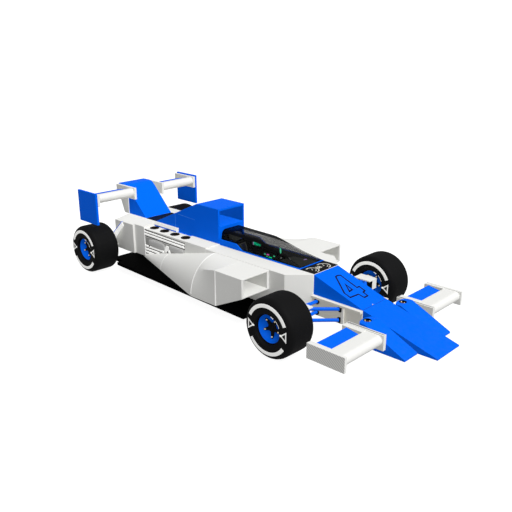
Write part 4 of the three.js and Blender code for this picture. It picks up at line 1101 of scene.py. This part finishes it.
def swollen(name, rings, cap):
    """A closed shape from rings, remeshed, and blown up by cloth pressure, by no more than cap."""
    pad = link(name, Solid().rings(rings).raw_mesh(name))
    remesh = pad.modifiers.new("remesh", "REMESH")
    remesh.mode = "VOXEL"
    remesh.voxel_size = VOXEL * MM
    remesh.use_smooth_shade = True
    even = evaluated_mesh(pad)
    pad.modifiers.remove(remesh)
    pad.data = even
    before = [vertex.co.copy() for vertex in even.vertices]
    cloth = pad.modifiers.new("cloth", "CLOTH")
    cloth.settings.use_pressure = True
    cloth.settings.uniform_pressure_force = 4
    cloth.settings.effector_weights.gravity = 0
    cloth.settings.quality = 5
    for step in range(1, 21):
        bpy.context.scene.frame_set(step)
    pad.data = evaluated_mesh(pad)
    pad.modifiers.remove(cloth)
    for vertex, start in zip(pad.data.vertices, before):
        move = vertex.co - start
        if move.length > cap * MM:
            vertex.co = start + move.normalized() * cap * MM
    bpy.context.scene.frame_set(1)
    result = pad.data
    bpy.data.objects.remove(pad)
    result.name = name
    return result


STRAP_HALF = 24
STRAP_THICKNESS = 2
SHOULDER_STRAP = ((300, 62, 30), (250, 58, 36), (120, 44, 38), (50, 34, 44))  # on the seat's back
LAP_STRAP = ((30, 126, 30), (50, 100, 38), (78, 50, 46))  # on the seat's base
BUCKLE = ((0, -8), (26, -8), (29, -4), (29, 4), (26, 9), (14, 12), (0, 12))


def harness():
    """Shoulder and lap straps meeting in a round buckle."""
    straps = Solid()
    buckle = BASE.at(92, 0, 52)
    for side in BOTH:
        for face, points, end, across in (
            (BACK, SHOULDER_STRAP, (-20, side * 18, 6), (0, 1, 0)),
            (BASE, LAP_STRAP, (0, side * 20, 0), (1, 0, 0.3)),
        ):
            path = [face.at(u, side * v, w) for u, v, w in points] + [buckle + Vector(end)]
            straps.rings(strap_rings(path, Vector(across).normalized()))
    straps.piece("harness_straps", strap_web, sharp=60)
    turned("harness_buckle", steel, BUCKLE, [buckle], (-0.2, 0, 1), 40)


def strap_rings(path, across):
    """Flat webbing's sections along a path, its width along across."""
    rings = []
    for i, point in enumerate(path):
        way = path[min(i + 1, len(path) - 1)] - path[max(i - 1, 0)]
        side = (across - way.normalized() * across.dot(way.normalized())).normalized() * STRAP_HALF
        out = way.cross(side).normalized() * STRAP_THICKNESS / 2
        rings.append([point - side - out, point - side + out, point + side + out, point + side - out])
    return rings


# ---- rear body sides
SIDE_Y = 400
GRILLE_REAR_X = -1450
GRILLE_FALL = -12 / 726  # how the upper lines fall from rear to front
SLOT_LINES = (  # rear end, front end, height
    (-1431, -705, 590), (-1431, -705, 558), (-1431, -705, 519),
    (-1438, -1142, 372), (-1442, -1223, 334), (-1440, -1340, 296),
)
RIBS = (  # rear end, front end, height, radius
    (-1440, -706, 574, 12), (-1440, -706, 539, 16), (-1440, -1085, 392, 15),
    (-1440, -1180, 353, 15), (-1440, -1290, 315, 14),
)
RECESS_OUTLINE = ((-1442, 503), (-706, 491), (-706, 404), (-1085, 404), (-1442, 404))
BULGES = ((-1375, -1058, 446, 52), (-982, -712, 462, 38))  # ends, height, half height
BULGE_STEPS = 14
DIVIDER_X = -1013
SPOTS = ((-1005, 408), (-1360, 398))
SPOT = ((0, -1), (11, -1), (11, 7.6), (9, 8.4), (0, 8.4))


def grille_line(x0, x1, z, steps=1):
    """Points along one of the grille's lines. Those in its upper half fall to the front."""
    fall = GRILLE_FALL if z > 500 else 0
    along = [(x1 - x0) * share for share in shares(steps)]
    return [(x0 + dx, z + fall * dx) for dx in along]


def grille(word, side):
    """Ribs, slots and rounded ducts on one side of the rear body. The ribs glow a little, a painted
    highlight of their lit tops; the slots are near-black bars on the face, painted shade of slots that are
    not cut.
    """
    face = side_face(side * SIDE_Y, side)
    ribs, ducts, seats = Solid(), Solid(), Solid()
    for x0, x1, z, radius in RIBS:
        ribs.tube([face.at(x, up, 9 - radius) for x, up in grille_line(x0, x1, z, 8)], radius, 20)
    ribs.band(face, [(GRILLE_REAR_X, 250), (GRILLE_REAR_X, 606)], 7, -2, 4)
    ribs.band(face, [(DIVIDER_X, 404), (DIVIDER_X, 480)], 46, -2, 7)
    recess = Solid().plate(face, RECESS_OUTLINE, -1, 1)
    for x0, x1, z, half in BULGES:
        ducts.rings(blister(face, x0, x1, z, half, 15))
    lines = [grille_line(*line) for line in SLOT_LINES]
    for line in lines:
        seats.band(face, line, 8, -1, 1.2)
    name = f"grille_{word}"
    # The ribs glow a little: painted highlight of their lit tops.
    ribs.piece(f"{name}_ribs", glowing_highlight_white, edge=2)
    recess.piece(f"{name}_recess", mid_grey)
    ducts.piece(f"{name}_ducts", duct_grey, sharp=50)
    turned(f"{name}_spots", slot_shade_black, SPOT, [face.at(x, z) for x, z in SPOTS], face.out)
    # The slots are flat near-black bars on the face: painted shade.
    runs = [([face.at(x, z, 1) for x, z in line], face.out) for line in lines]
    row(f"{name}_slots", SLAT_ROW, runs, slot_shade_black, spacing=36, length=26, width=10, height=3)
    seats.piece(f"{name}_seats", mid_grey)


def blister(face, u0, u1, v, half, rise):
    """A long bulge with rounded ends on a face."""
    rings = []
    for turn in (math.pi * share for share in shares(BULGE_STEPS)):
        u = (u0 + u1) / 2 - (u1 - u0) / 2 * math.cos(turn)
        size = max(0.06, math.sin(turn) ** 0.35)
        ring = arc(v, -1, half * size, 0, 180, BULGE_STEPS, rise * size)
        rings.append([face.at(u, *point) for point in ring])
    return rings


# ---- deck and tail
DECK_STRIPE_X = (-1461, -1042)
FILLET_SECTION = ((238, 649.6), (254, 629), (254, 627.5), (238, 627.5))  # y and z
COVER_SEAMS = (((-1095, 617), (-1095, 815)), ((-1041, 823), (-735, 809)))  # x and z
EXHAUSTS_X = (-787, -982, -1177, -1372)
COLLAR = ((46.6, -1), (56, -1), (56, 5), (53, 8), (46.6, 8))


def deck_details():
    """Paint lines on the deck round the engine cover, a black plate in the gap between the cover and the
    pylon as its painted shade, and fillets in a lighter white as a painted highlight.
    """
    rear, front = span("wing_pylon").x1 + 1, span("engine_cover").x0 - 1
    # A black plate in the gap between the engine cover and the pylon: painted shade.
    deck = Solid().block(rear, front, -198, 198, 648, 651.6)
    deck.piece("deck_gap_shade", satin, edge=0.6)
    stripes, fillets, seams = Solid(), Solid(), Solid()
    x0, x1 = DECK_STRIPE_X
    stripes.blocks(x1, -792, 200.6, 224, 605, 608)
    for side in BOTH:
        stripes.plate(side_face(side * 240, side), box_outline(x0, x1, 606, 628), -1, 1)
        fillets.rings([[(x, side * y, z) for y, z in FILLET_SECTION] for x in (x0, x1)])
        for line in COVER_SEAMS:
            seams.band(side_face(side * 200, side), line, 3, -1, 0.8)
    stripes.piece("deck_stripes", blue)
    # The fillets are in the lighter white: painted highlight of their lit tops.
    fillets.piece("spine_fillets", bright)
    seams.piece("cover_seams", pale_blue)
    places = [place for x in EXHAUSTS_X for place in both(x, 305, 606)]
    turned("exhaust_collars", scorched_metal, COLLAR, places, sides=40)


STRAKE_OUTLINE = ((-1998, 470), (-1998, 514), (-1802, 514), (-1802, 590), (-1774, 594), (-1774, 470))
STRAKE_TOP = 36


def floor_strakes():
    """Narrow plates that carry the floor back past the rear tyres."""
    low = span("floor").z0
    strakes = Solid()
    for side in BOTH:
        corners = [(x, side * y) for x, y in STRAKE_OUTLINE]
        strakes.plate(top_face(0), corners, low + 1, low + STRAKE_TOP - 0.5)
    strakes.piece("floor_strakes", carbon, edge=1.5)


LENS_ROWS = (366, 388, 410)
REAR_STUD = ((0, -1), (7, -1), (7, 1), (5, 2.2), (0, 2.6))


def rear_face():
    """A panel, a lamp and its fixings on the back of the body."""
    face = front_face(span("rear_body").x0, -1)
    highlight = Solid().band(face, box_outline(-300, 300, 300, 560), 3, -1, 0.6, closed=True)
    highlight.piece("rear_panel_seam", mid_grey)
    case = Solid().plate(face, box_outline(-46, 46, 350, 426), -1, 9)
    case.piece("rear_lamp_case", black, edge=3)
    lens = Solid()
    for z in LENS_ROWS:
        lens.tube([face.at(y, z, 8) for y in (-38, 38)], 7, 20)
    lens.piece("rear_lamp_lens", red_lens, sharp=60)
    places = [face.at(y, z) for y in (-284, 0, 284) for z in (316, 544)]
    turned("rear_panel_studs", steel, REAR_STUD, places, face.out, slot="body_white")


UPRIGHT_INNER = 478.5
UPRIGHT_OUTER = 516.5
UPRIGHT_HALF = 36
UPRIGHT_HEIGHT = 290
STUB_RADIUS = 26.4
BODY_WALL_Y = 428.6
BLADE_ROOT = ((-1871, 618), (-1842, 568))  # upper and lower edge, x and z
BLADE_TIP = ((-2070, 384), (-2010, 322))
BLADE_TIP_Y = 498
BLADE_THICKNESS = 9
LOWER_ARM = ((-2008, BODY_WALL_Y, 296), (-2092, 486, 216))
LOWER_ARM_SECTION = ((-16, -11), (-16, 11), (16, 11), (16, -11))  # x and z


def rear_uprights():
    """Rear uprights with their stub axles, carried by a broad blade and a short lower arm."""
    stripes = Solid()
    axle = span("tyre_rear_left").middle
    for word, side in SIDES:
        node = f"rear_upright_{word}"
        packed = span(node)
        post = Solid()
        y0, y1 = side * UPRIGHT_INNER, side * UPRIGHT_OUTER
        x0, x1 = axle.x - UPRIGHT_HALF, axle.x + UPRIGHT_HALF
        post.block(x0, x1, y0, y1, packed.z0, packed.z0 + UPRIGHT_HEIGHT)
        post.block(x1 - 2, -1996, y0 + side, y1 - side, 306, 394)
        post.tube([(axle.x, side * y, axle.z) for y in (UPRIGHT_INNER, packed.outer)], STUB_RADIUS, 32)
        post.piece(f"{node}_post", white, replaces=node, edge=2, slot="upright_white")
        thick = Vector((0, side * BLADE_THICKNESS, 0))
        lift = Vector((0, side * 1.5, 0))
        sections = []
        lined = []
        for edges, y in ((BLADE_ROOT, BODY_WALL_Y), (BLADE_TIP, BLADE_TIP_Y)):
            upper, lower = (Vector((x, side * y, z)) for x, z in edges)
            sections.append([upper, lower, lower + thick, upper + thick])
            down = (lower - upper).normalized()
            near, far = upper - down * 1.5, upper + down * 7
            lined.append([near, far, far + thick + lift, near + thick + lift])
        stripes.rings(lined)
        blades = Solid().rings(sections)
        arm = [[(x + dx, side * y, z + dz) for dx, dz in LOWER_ARM_SECTION] for x, y, z in LOWER_ARM]
        blades.rings(arm)
        # The blades and lower arms glow a little: painted highlight of their lit faces.
        blades.piece(f"{node}_blades", glowing_highlight_white, edge=1.5, slot="upright_white")
    stripes.piece("strut_stripes", blue)


# ---- front end and edges
# Black plates for the shade under each front knuckle's top plate: painted shade.
KNUCKLE_SHADE_PLATES = (  # x0, x1, y0, y1, z0, z1 on the left
    (1089, 1155, 574.4, 577, 262, 387),
    (1153, 1155.5, 574.4, 623, 262, 387),
    (1213, 1234, 514.4, 517, 292, 387),
)


def knuckle_shade_plates():
    """Black plates on each front knuckle's post and leg, under its top plate: painted shade."""
    for word, side in SIDES:
        shades = Solid()
        for x0, x1, y0, y1, z0, z1 in KNUCKLE_SHADE_PLATES:
            shades.block(x0, x1, side * y0, side * y1, z0, z1)
        shades.piece(f"knuckle_{word}_cover", black, body=f"steering_{word}")


KEEL_HALF = 215  # the keel's narrow part, ahead of its sockets
KEEL_STRIP_X = 1398
WING_TOP = 347
GROOVE_Y = 419


def edge_strips():
    """Strips on the keel and round the inlets, in lighter or glowing white as painted highlights of lit
    edges, and grey strips along the wings' root plates as the painted shade of grooves.
    """
    keel, grooves, strips, frames = Solid(), Solid(), Solid(), Solid()
    keel_low = span("keel").z0 + 6
    for word, side in SIDES:
        face = side_face(side * KEEL_HALF, side)
        keel.band(face, [(KEEL_STRIP_X, keel_low), (KEEL_STRIP_X, 362)], 14, -2, 5)
        y = side * GROOVE_Y
        grooves.band(top_face(WING_TOP), [(1608, y), (1998, y)], 9, -1, 0.8)
        inlet = span(f"sidepod_inlet_{word}")
        y = side * (inlet.inner + 11)
        frames.band(front_face(inlet.x1), [(y, 390), (y, inlet.z1 - 4)], 16, -2, 1.6)
        joint = [(inlet.x0 + 3, inlet.z0 + 6), (inlet.x0 + 3, inlet.z1 - 4)]
        strips.band(side_face(side * inlet.outer, side), joint, 7, -2, 1)
    # The keel strips and inlet frames are in a lighter white, and the inlet strips glow: painted
    # highlights. The grey strips stand for the shade in grooves: painted shade.
    keel.piece("keel_strips", bright, edge=1.5)
    grooves.piece("wing_groove_shade", grey)
    strips.piece("inlet_strips", glowing_highlight_white)
    frames.piece("inlet_frames", bright)


# ---- fasteners and fins
def fasteners():
    """Rows of low studs along the joints of the bodywork."""
    cone = span("nose_cone")
    shade_plate = span("engine_cover")
    floor_top = span("floor").z0 + STRAKE_TOP + 0.4
    blue_runs, white_runs, floor_runs = [], [], []
    for word, side in SIDES:
        out = (0, side, 0)
        y, z = side * (cone.y1 + 0.3), cone.z0 + 14
        blue_runs.append(([(cone.x0 + 30, y, z), (cone.x1 - 60, y, z)], out))
        y = side * (shade_plate.y1 + 0.3)
        blue_runs.append(([(shade_plate.x1 - 40, y, 640), (-1020, y, 640)], out))
        inlet = span(f"sidepod_inlet_{word}")
        y = side * (inlet.outer - 0.6)
        white_runs.append(([(inlet.x0 + 10, y, 400), (inlet.x1 - 12, y, 420)], out))
        floor_runs.append(([(480, side * 640, floor_top), (-1750, side * 582, floor_top)], UP))
    row("blue_studs", STUD_ROW, blue_runs, blue, spacing=96, width=9, height=1.6)
    row("white_studs", STUD_ROW, white_runs, bright, spacing=60, width=8, height=1.6)
    row("floor_studs", STUD_ROW, floor_runs, carbon, spacing=120, width=10, height=2)


CORE_DEPTH = 336
CORE_MARGIN = 29
FIN_COUNT = 14


def radiators():
    """Finned cores deep in the sidepod inlets."""
    cores = Solid()
    runs = []
    for word, side in SIDES:
        inlet = span(f"sidepod_inlet_{word}")
        x = inlet.x1 - CORE_DEPTH
        ends = sorted((side * (inlet.inner + CORE_MARGIN), side * (inlet.outer - CORE_MARGIN)))
        cores.block(x, x + 14, *ends, 404, 572)
        for z in (412 + 12 * i for i in range(FIN_COUNT)):
            runs.append(([(x + 17, ends[0] + 4, z), (x + 17, ends[1] - 4, z)], (1, 0, 0)))
    cores.piece("radiator_cores", satin, slot="engine_metal")
    row("radiator_fins", SLAT_ROW, runs, cast, spacing=8, length=2, width=9, height=8)


# ---- wheels
TYRE_SHOULDER = 64
BEAD_RADIUS = 147
MARK_INNER = 212
MARK_OUTER = 247
MARK_RISE = 1
MARK_ARCS = ((24, 156), (-147, -33))  # degrees round the sidewall
MARK_POINTER = ((228, -42), (228, 42), (172, 0))
BARREL = [
    (134, 0), (126, 40), (134, 111), (138, 139), (140, 141),
    (145.6, 141), (145.6, 127), (141.6, 121), (137.6, 60),
]
DISH = (
    (136, 137), (128, 133), (112, 112), (74, 92), (40, 88),
    (40, 84), (76, 87), (115, 107), (130, 128), (136, 133),
)
HUB = ((28, -8), (28, 99), (0, 99), (0, 113), (20, 113), (24, 108), (42, 106), (46, 100), (46, -8))
HUB_SLEEVE = ((30, -8), (30, -104), (40, -104), (45, -98), (45, -8))
ARM_COUNT = 5
# Radius, half width, near and far side.
ARM_SECTIONS = ((40, 17, 90, 106), (78, 13, 92, 107), (100, 10, 100, 110), (106, 5, 103, 109))
PIN_RADIUS = 86
PIN = ((0, 104), (8, 104), (8, 113), (6, 117), (0, 119))


def mirrored(profile):
    """A profile on its wheel's other side."""
    return [(r, -along) for r, along in profile]


def tyre(corner, centre, out, radius, half):
    profile = [(BEAD_RADIUS, half - 26), (BEAD_RADIUS + 1, half - 6), (BEAD_RADIUS + 6, half)]
    profile += [(168, half), (170, half - 1.2), (174, half - 1.2), (176, half)]
    profile += arc(radius - TYRE_SHOULDER, half - TYRE_SHOULDER, TYRE_SHOULDER, 90, 0, 12)
    whole = profile + [(radius, 0)] + mirrored(reversed(profile))
    solid = Solid().lathe(whole, centre, (0, out, 0), 96)
    node = f"tyre_{corner}"
    solid.piece(f"{node}_rubber", tyre_rubber, body=f"wheel_{corner}", replaces=node, sharp=50)


def wall_profile(radius, half):
    """(radius, along) points up the sidewall's marks and over the shoulder's round."""
    points = []
    for share in shares(10):
        r = MARK_INNER + (MARK_OUTER - MARK_INNER) * share
        over = max(0.0, r - (radius - TYRE_SHOULDER))
        points.append((r, half - TYRE_SHOULDER + math.sqrt(TYRE_SHOULDER**2 - over**2)))
    return points


def sidewall_marks(corner, centre, radius, half):
    """Pale arcs and pointers printed on both sidewalls of a tyre; the print glows a little as painted
    light.
    """
    marks = Solid()
    section = wall_profile(radius, half - MARK_RISE) + wall_profile(radius, half + MARK_RISE)[::-1]
    for out in BOTH:
        for start, end in MARK_ARCS:
            rings = []
            for u, v in arc(0, 0, 1, start, end, round((end - start) / 3)):
                rings.append([centre + Vector((r * u, out * a, r * v)) for r, a in section])
            marks.rings(rings)
        wall = side_face(centre.y + out * half, out)
        lines = [
            (arc(centre.x, centre.z, 160, 24, 50, 10), 3, False),
            (arc(centre.x, centre.z, 153, 60, 72, 5), 7, False),
        ]
        for way in BOTH:
            pointer = [(centre.x + way * u, centre.z + v) for u, v in MARK_POINTER]
            lines.append((pointer, 12, True))
            lines.append(([(centre.x + way * r, centre.z) for r in (174, 153)], 10, False))
        for line, width, closed in lines:
            marks.band(wall, line, width, -MARK_RISE, MARK_RISE, closed)
    marks.piece(f"tyre_{corner}_marks", glowing_wall_print, body=f"wheel_{corner}")


def rim(corner, centre, out):
    """A black barrel with a blue dish, and a black star hub with cream pins."""
    axis = (0, out, 0)
    node, body = f"rim_{corner}", f"wheel_{corner}"
    barrel = Solid().lathe(BARREL + mirrored(reversed(BARREL[1:])), centre, axis, 72)
    barrel.piece(f"{node}_barrel", satin, body=body, replaces=node, slot="rim_blue")
    dishes = Solid().lathe(DISH, centre, axis, 72).lathe(mirrored(DISH), centre, axis, 72)
    dishes.piece(f"{node}_dish", blue, body=body, sharp=30, slot="rim_blue")
    star = Solid().lathe(HUB, centre, axis, 48).lathe(HUB_SLEEVE, centre, axis, 48)
    pins = Solid()
    for i in range(ARM_COUNT):
        angle = math.radians(60) + math.tau * i / ARM_COUNT
        way = Vector((math.cos(angle), 0, math.sin(angle)))
        wide = Vector((-math.sin(angle), 0, math.cos(angle)))
        for face in (out, -out):
            rings = []
            for r, width, near, far in ARM_SECTIONS:
                corners = ((-width, near), (-width, far), (width, far), (width, near))
                rings.append([centre + way * r + wide * s + Vector((0, face * a, 0)) for s, a in corners])
            star.rings(rings)
            pins.lathe([(r, face * out * a) for r, a in PIN], centre + way * PIN_RADIUS, axis, 16)
    star.piece(f"{node}_star", satin, body=body, edge=1.2, slot="rim_blue")
    pins.piece(f"{node}_pins", cream_pin, body=body, sharp=50, slot="rim_blue")


def wheels():
    for axle in ("front", "rear"):
        for word, out in SIDES:
            corner = f"{axle}_{word}"
            box = span(f"tyre_{corner}")
            radius, half = (box.z1 - box.z0) / 2, (box.y1 - box.y0) / 2
            tyre(corner, box.middle, out, radius, half)
            sidewall_marks(corner, box.middle, radius, half)
            rim(corner, box.middle, out)


# ---- suspension
KINGPIN_Y = 545
LEG_ROOT_Y = 211
LEG_ROOTS_X = (1366, 1086)
LEG_HEIGHTS = (("upper", 336, 368), ("lower", 222, 250))  # at the root and at the kingpin
LEG_RADIUS = 17.5
BOOT_FOLDS = (24, 21, 22, 19, 20)
LEG_SOCKET = ((15, -28), (28.6, -28), (28.6, 3), (32, 3), (32, 6), (22, 8), (15, 8))
KINGPIN_BOSS = ((0, -20), (22, -20), (25, -17), (25, 17), (22, 20), (0, 20))


def suspension():
    """Round wishbone legs from booted sockets in the keel to a boss on the kingpin."""
    axle_x = span("tyre_front_left").middle.x
    for word, side in SIDES:
        for name, root_z, joint_z in LEG_HEIGHTS:
            joint = Vector((axle_x, side * KINGPIN_Y, joint_z))
            arms, boots = Solid(), Solid()
            for root_x in LEG_ROOTS_X:
                root = Vector((root_x, side * LEG_ROOT_Y, root_z))
                arms.tube([root, root.lerp(joint, 0.96)], LEG_RADIUS)
                way = (joint - root).normalized()
                boots.tube([root + way * 3 * i for i in range(len(BOOT_FOLDS))], BOOT_FOLDS)
                boots.lathe(LEG_SOCKET, root, (0, side, 0), 32)
            arms.lathe(KINGPIN_BOSS, joint, UP, 32)
            node = f"{name}_wishbone_{word}"
            arms.piece(f"{node}_legs", arm_blue, replaces=node, sharp=40)
            boots.piece(f"{node}_boots", black, sharp=60)


# ---- canopy
CANOPY_WALL = 7
CANOPY_LEAN = 16
CANOPY_ROUND = 58
CANOPY_KNEE_X = 235
CANOPY_KNEE_DROP = 8
CANOPY_FRONT_HEIGHT = 9
KNEE_SOFTNESS = 4
CANOPY_STATIONS = 36
# A band's first and last point round the roof's edge at the rear, and how far each moves in.
RAILS = ((1, (1, 9), (17, -4)), (-1, (6, 4), (14, -2)))
RAIL_POINTS = 8
HINGE = ((0, -16), (5, -16), (6, -14), (6, 14), (5, 16), (0, 16))


def canopy_height(box, x):
    """Height of the roof above the foot: level at the rear, then down to the front."""
    full = box.z1 - box.z0
    level = full - CANOPY_KNEE_DROP * (x - box.x0) / (CANOPY_KNEE_X - box.x0)
    knee = full - CANOPY_KNEE_DROP
    slope = (knee - CANOPY_FRONT_HEIGHT) / (box.x1 - CANOPY_KNEE_X)
    falling = knee - slope * (x - CANOPY_KNEE_X)
    lower = min(level, falling)
    spread = sum(math.exp((lower - height) / KNEE_SOFTNESS) for height in (level, falling))
    return lower - KNEE_SOFTNESS * math.log(spread)


def canopy_arch(box, x, inset=0.0, steps=10):
    """Half of a section, from the foot to the roof's edge, as (y, z)."""
    height = canopy_height(box, x)
    top = max(height - inset, 0.6)
    radius = min(CANOPY_ROUND, top * 0.9)
    foot = box.y1 - inset
    centre = foot - CANOPY_LEAN * height / (box.z1 - box.z0) - radius
    return [(foot, box.z0)] + arc(centre, box.z0 + top - radius, radius, 0, 90, steps)


def whole_arch(box, x, inset=0.0, steps=10):
    half = canopy_arch(box, x, inset, steps)
    return half + [(-y, z) for y, z in reversed(half)]


def canopy_shell(box, stations, outset, inset):
    """A closed wall between two arches, along stations."""
    rings = []
    for x in stations:
        section = whole_arch(box, x, -outset) + whole_arch(box, x, inset)[::-1]
        rings.append([(x, y, z) for y, z in section])
    return Solid().rings(rings)


def canopy():
    """The clear lid, dark bands along its roof's edges, its hoop, foot strips and hinges."""
    box = span("canopy")
    stations = [box.x0 + (box.x1 - box.x0) * share for share in shares(CANOPY_STATIONS)]
    shell = canopy_shell(box, stations, 0, CANOPY_WALL)
    shell.piece("canopy_glass", glass, body="canopy_lid", replaces="canopy")
    rails = Solid()
    for side, (first, first_moves), (last, last_moves) in RAILS:
        rings = []
        for x in stations:
            taper = min(1.0, 2.5 * max(0.0, (x - CANOPY_KNEE_X) / (box.x1 - CANOPY_KNEE_X)))
            start = round(first + first_moves * taper)
            end = round(last + last_moves * taper)
            edge = canopy_arch(box, x, steps=18)[1 + start : end + 2]
            picks = [edge[round((len(edge) - 1) * share)] for share in shares(RAIL_POINTS - 1)]
            section = [(y + 1.2, z + 1.2) for y, z in picks] + [(y - 1, z - 1) for y, z in picks[::-1]]
            rings.append([(x, side * y, z) for y, z in section])
        rails.rings(rings)
    rails.piece("canopy_rails", satin, body="canopy_lid", sharp=60)
    hoop = canopy_shell(box, (box.x0 + 1, box.x0 + 15), 1, 10)
    hoop.blocks(box.x0 + 4, box.x1 - 40, box.y1 - 9, box.y1 - 0.5, box.z0, box.z0 + 5)
    hoop.piece("canopy_frame", satin, body="canopy_lid", sharp=50)
    places = both(box.x1 - 4, 120, box.z0 + 7)
    turned("canopy_hinges", satin, HINGE, places, (0, 1, 0), body="canopy_lid")


# ---- stage
# Metres from here on.
FLOOR_REACH = 14.0
WALL_CURVE = 6.0
WALL_HEIGHT = 16.0
FLOOR_SIDES = 96
LIGHTS = (("key", 1.7, False, 10), ("soft_key", 0.75, True, 40))  # power, shadow, spread
LIGHT_FROM = Vector((0.64, -0.03, 0.77))
WORLD_LIGHT = 0.42
CAMERA_PLACE = Vector((4.6365, -4.7382, 2.7390))
CAMERA_AIM = Vector((0.0465, 0.0, 0.5076))


def stage_floor():
    """A plain pale floor that curves up into a wall."""
    profile = [(4.0, 0.0), (FLOOR_REACH, 0.0)]
    for turn in (math.radians(15 * i) for i in range(1, 7)):
        reach = FLOOR_REACH + WALL_CURVE * math.sin(turn)
        profile.append((reach, WALL_CURVE * (1 - math.cos(turn))))
    profile.append((FLOOR_REACH + WALL_CURVE, WALL_HEIGHT))
    shell = bmesh.new()
    rings = []
    for radius, z in profile:
        ring = round_ring(Vector((0, 0, z)), Vector((1, 0, 0)), Vector((0, 1, 0)), radius, FLOOR_SIDES)
        rings.append([shell.verts.new(point) for point in ring])
    shell.faces.new(rings[0])
    for a, b in zip(rings, rings[1:]):
        for i in range(FLOOR_SIDES):
            j = (i + 1) % FLOOR_SIDES
            shell.faces.new((a[i], a[j], b[j], b[i]))
    bmesh.ops.recalc_face_normals(shell, faces=shell.faces)
    mesh = closed_mesh("stage_floor", shell)
    mesh.shade_smooth()
    glowing = {"Emission_Color": (1, 1, 1, 1), "Emission_Strength": 0.72}
    finish = Finish("stage_floor", Roughness=0.9, Specular_IOR_Level=0.0, **glowing)
    drift = finish.noise(0.4, 2)
    finish.feed(Base_Color=finish.mix((0.5, 0.5, 0.5, 1), (0.49, 0.49, 0.49, 1), drift))
    mesh.materials.append(finish.material)
    floor = link("stage_floor", mesh)
    # The floor doesn't throw its own brightness on to the car.
    floor.visible_diffuse = False
    floor.visible_glossy = False
    floor.visible_shadow = False


def studio():
    """Soft light from ahead and above, and the camera."""
    scene = bpy.context.scene
    scene.view_settings.view_transform = "Standard"
    scene.world = bpy.data.worlds.new("studio")
    scene.world.use_nodes = True
    background = scene.world.node_tree.nodes["Background"]
    background.inputs["Color"].default_value = (1, 1, 1, 1)
    background.inputs["Strength"].default_value = WORLD_LIGHT
    for name, energy, shadow, spread in LIGHTS:
        light = bpy.data.lights.new(name, "SUN")
        light.energy = energy
        light.angle = math.radians(spread)
        light.use_shadow = shadow
        link(name, light).rotation_euler = LIGHT_FROM.to_track_quat("Z", "Y").to_euler()
    camera = bpy.data.cameras.new("camera")
    camera.lens = 44.364
    camera.sensor_width = 36
    camera.clip_end = 200
    view = link("camera", camera)
    view.location = CAMERA_PLACE
    view.rotation_euler = (CAMERA_AIM - CAMERA_PLACE).to_track_quat("-Z", "Y").to_euler()
    scene.camera = view


bodywork()
nose()
dash_gauges()
cockpit_liner()
bulkhead()
cowl()
cockpit_fittings()
driver_wheel()
seat()
for word, side in SIDES:
    grille(word, side)
deck_details()
floor_strakes()
rear_face()
rear_uprights()
knuckle_shade_plates()
edge_strips()
fasteners()
radiators()
wheels()
suspension()
canopy()
stage_floor()
studio()
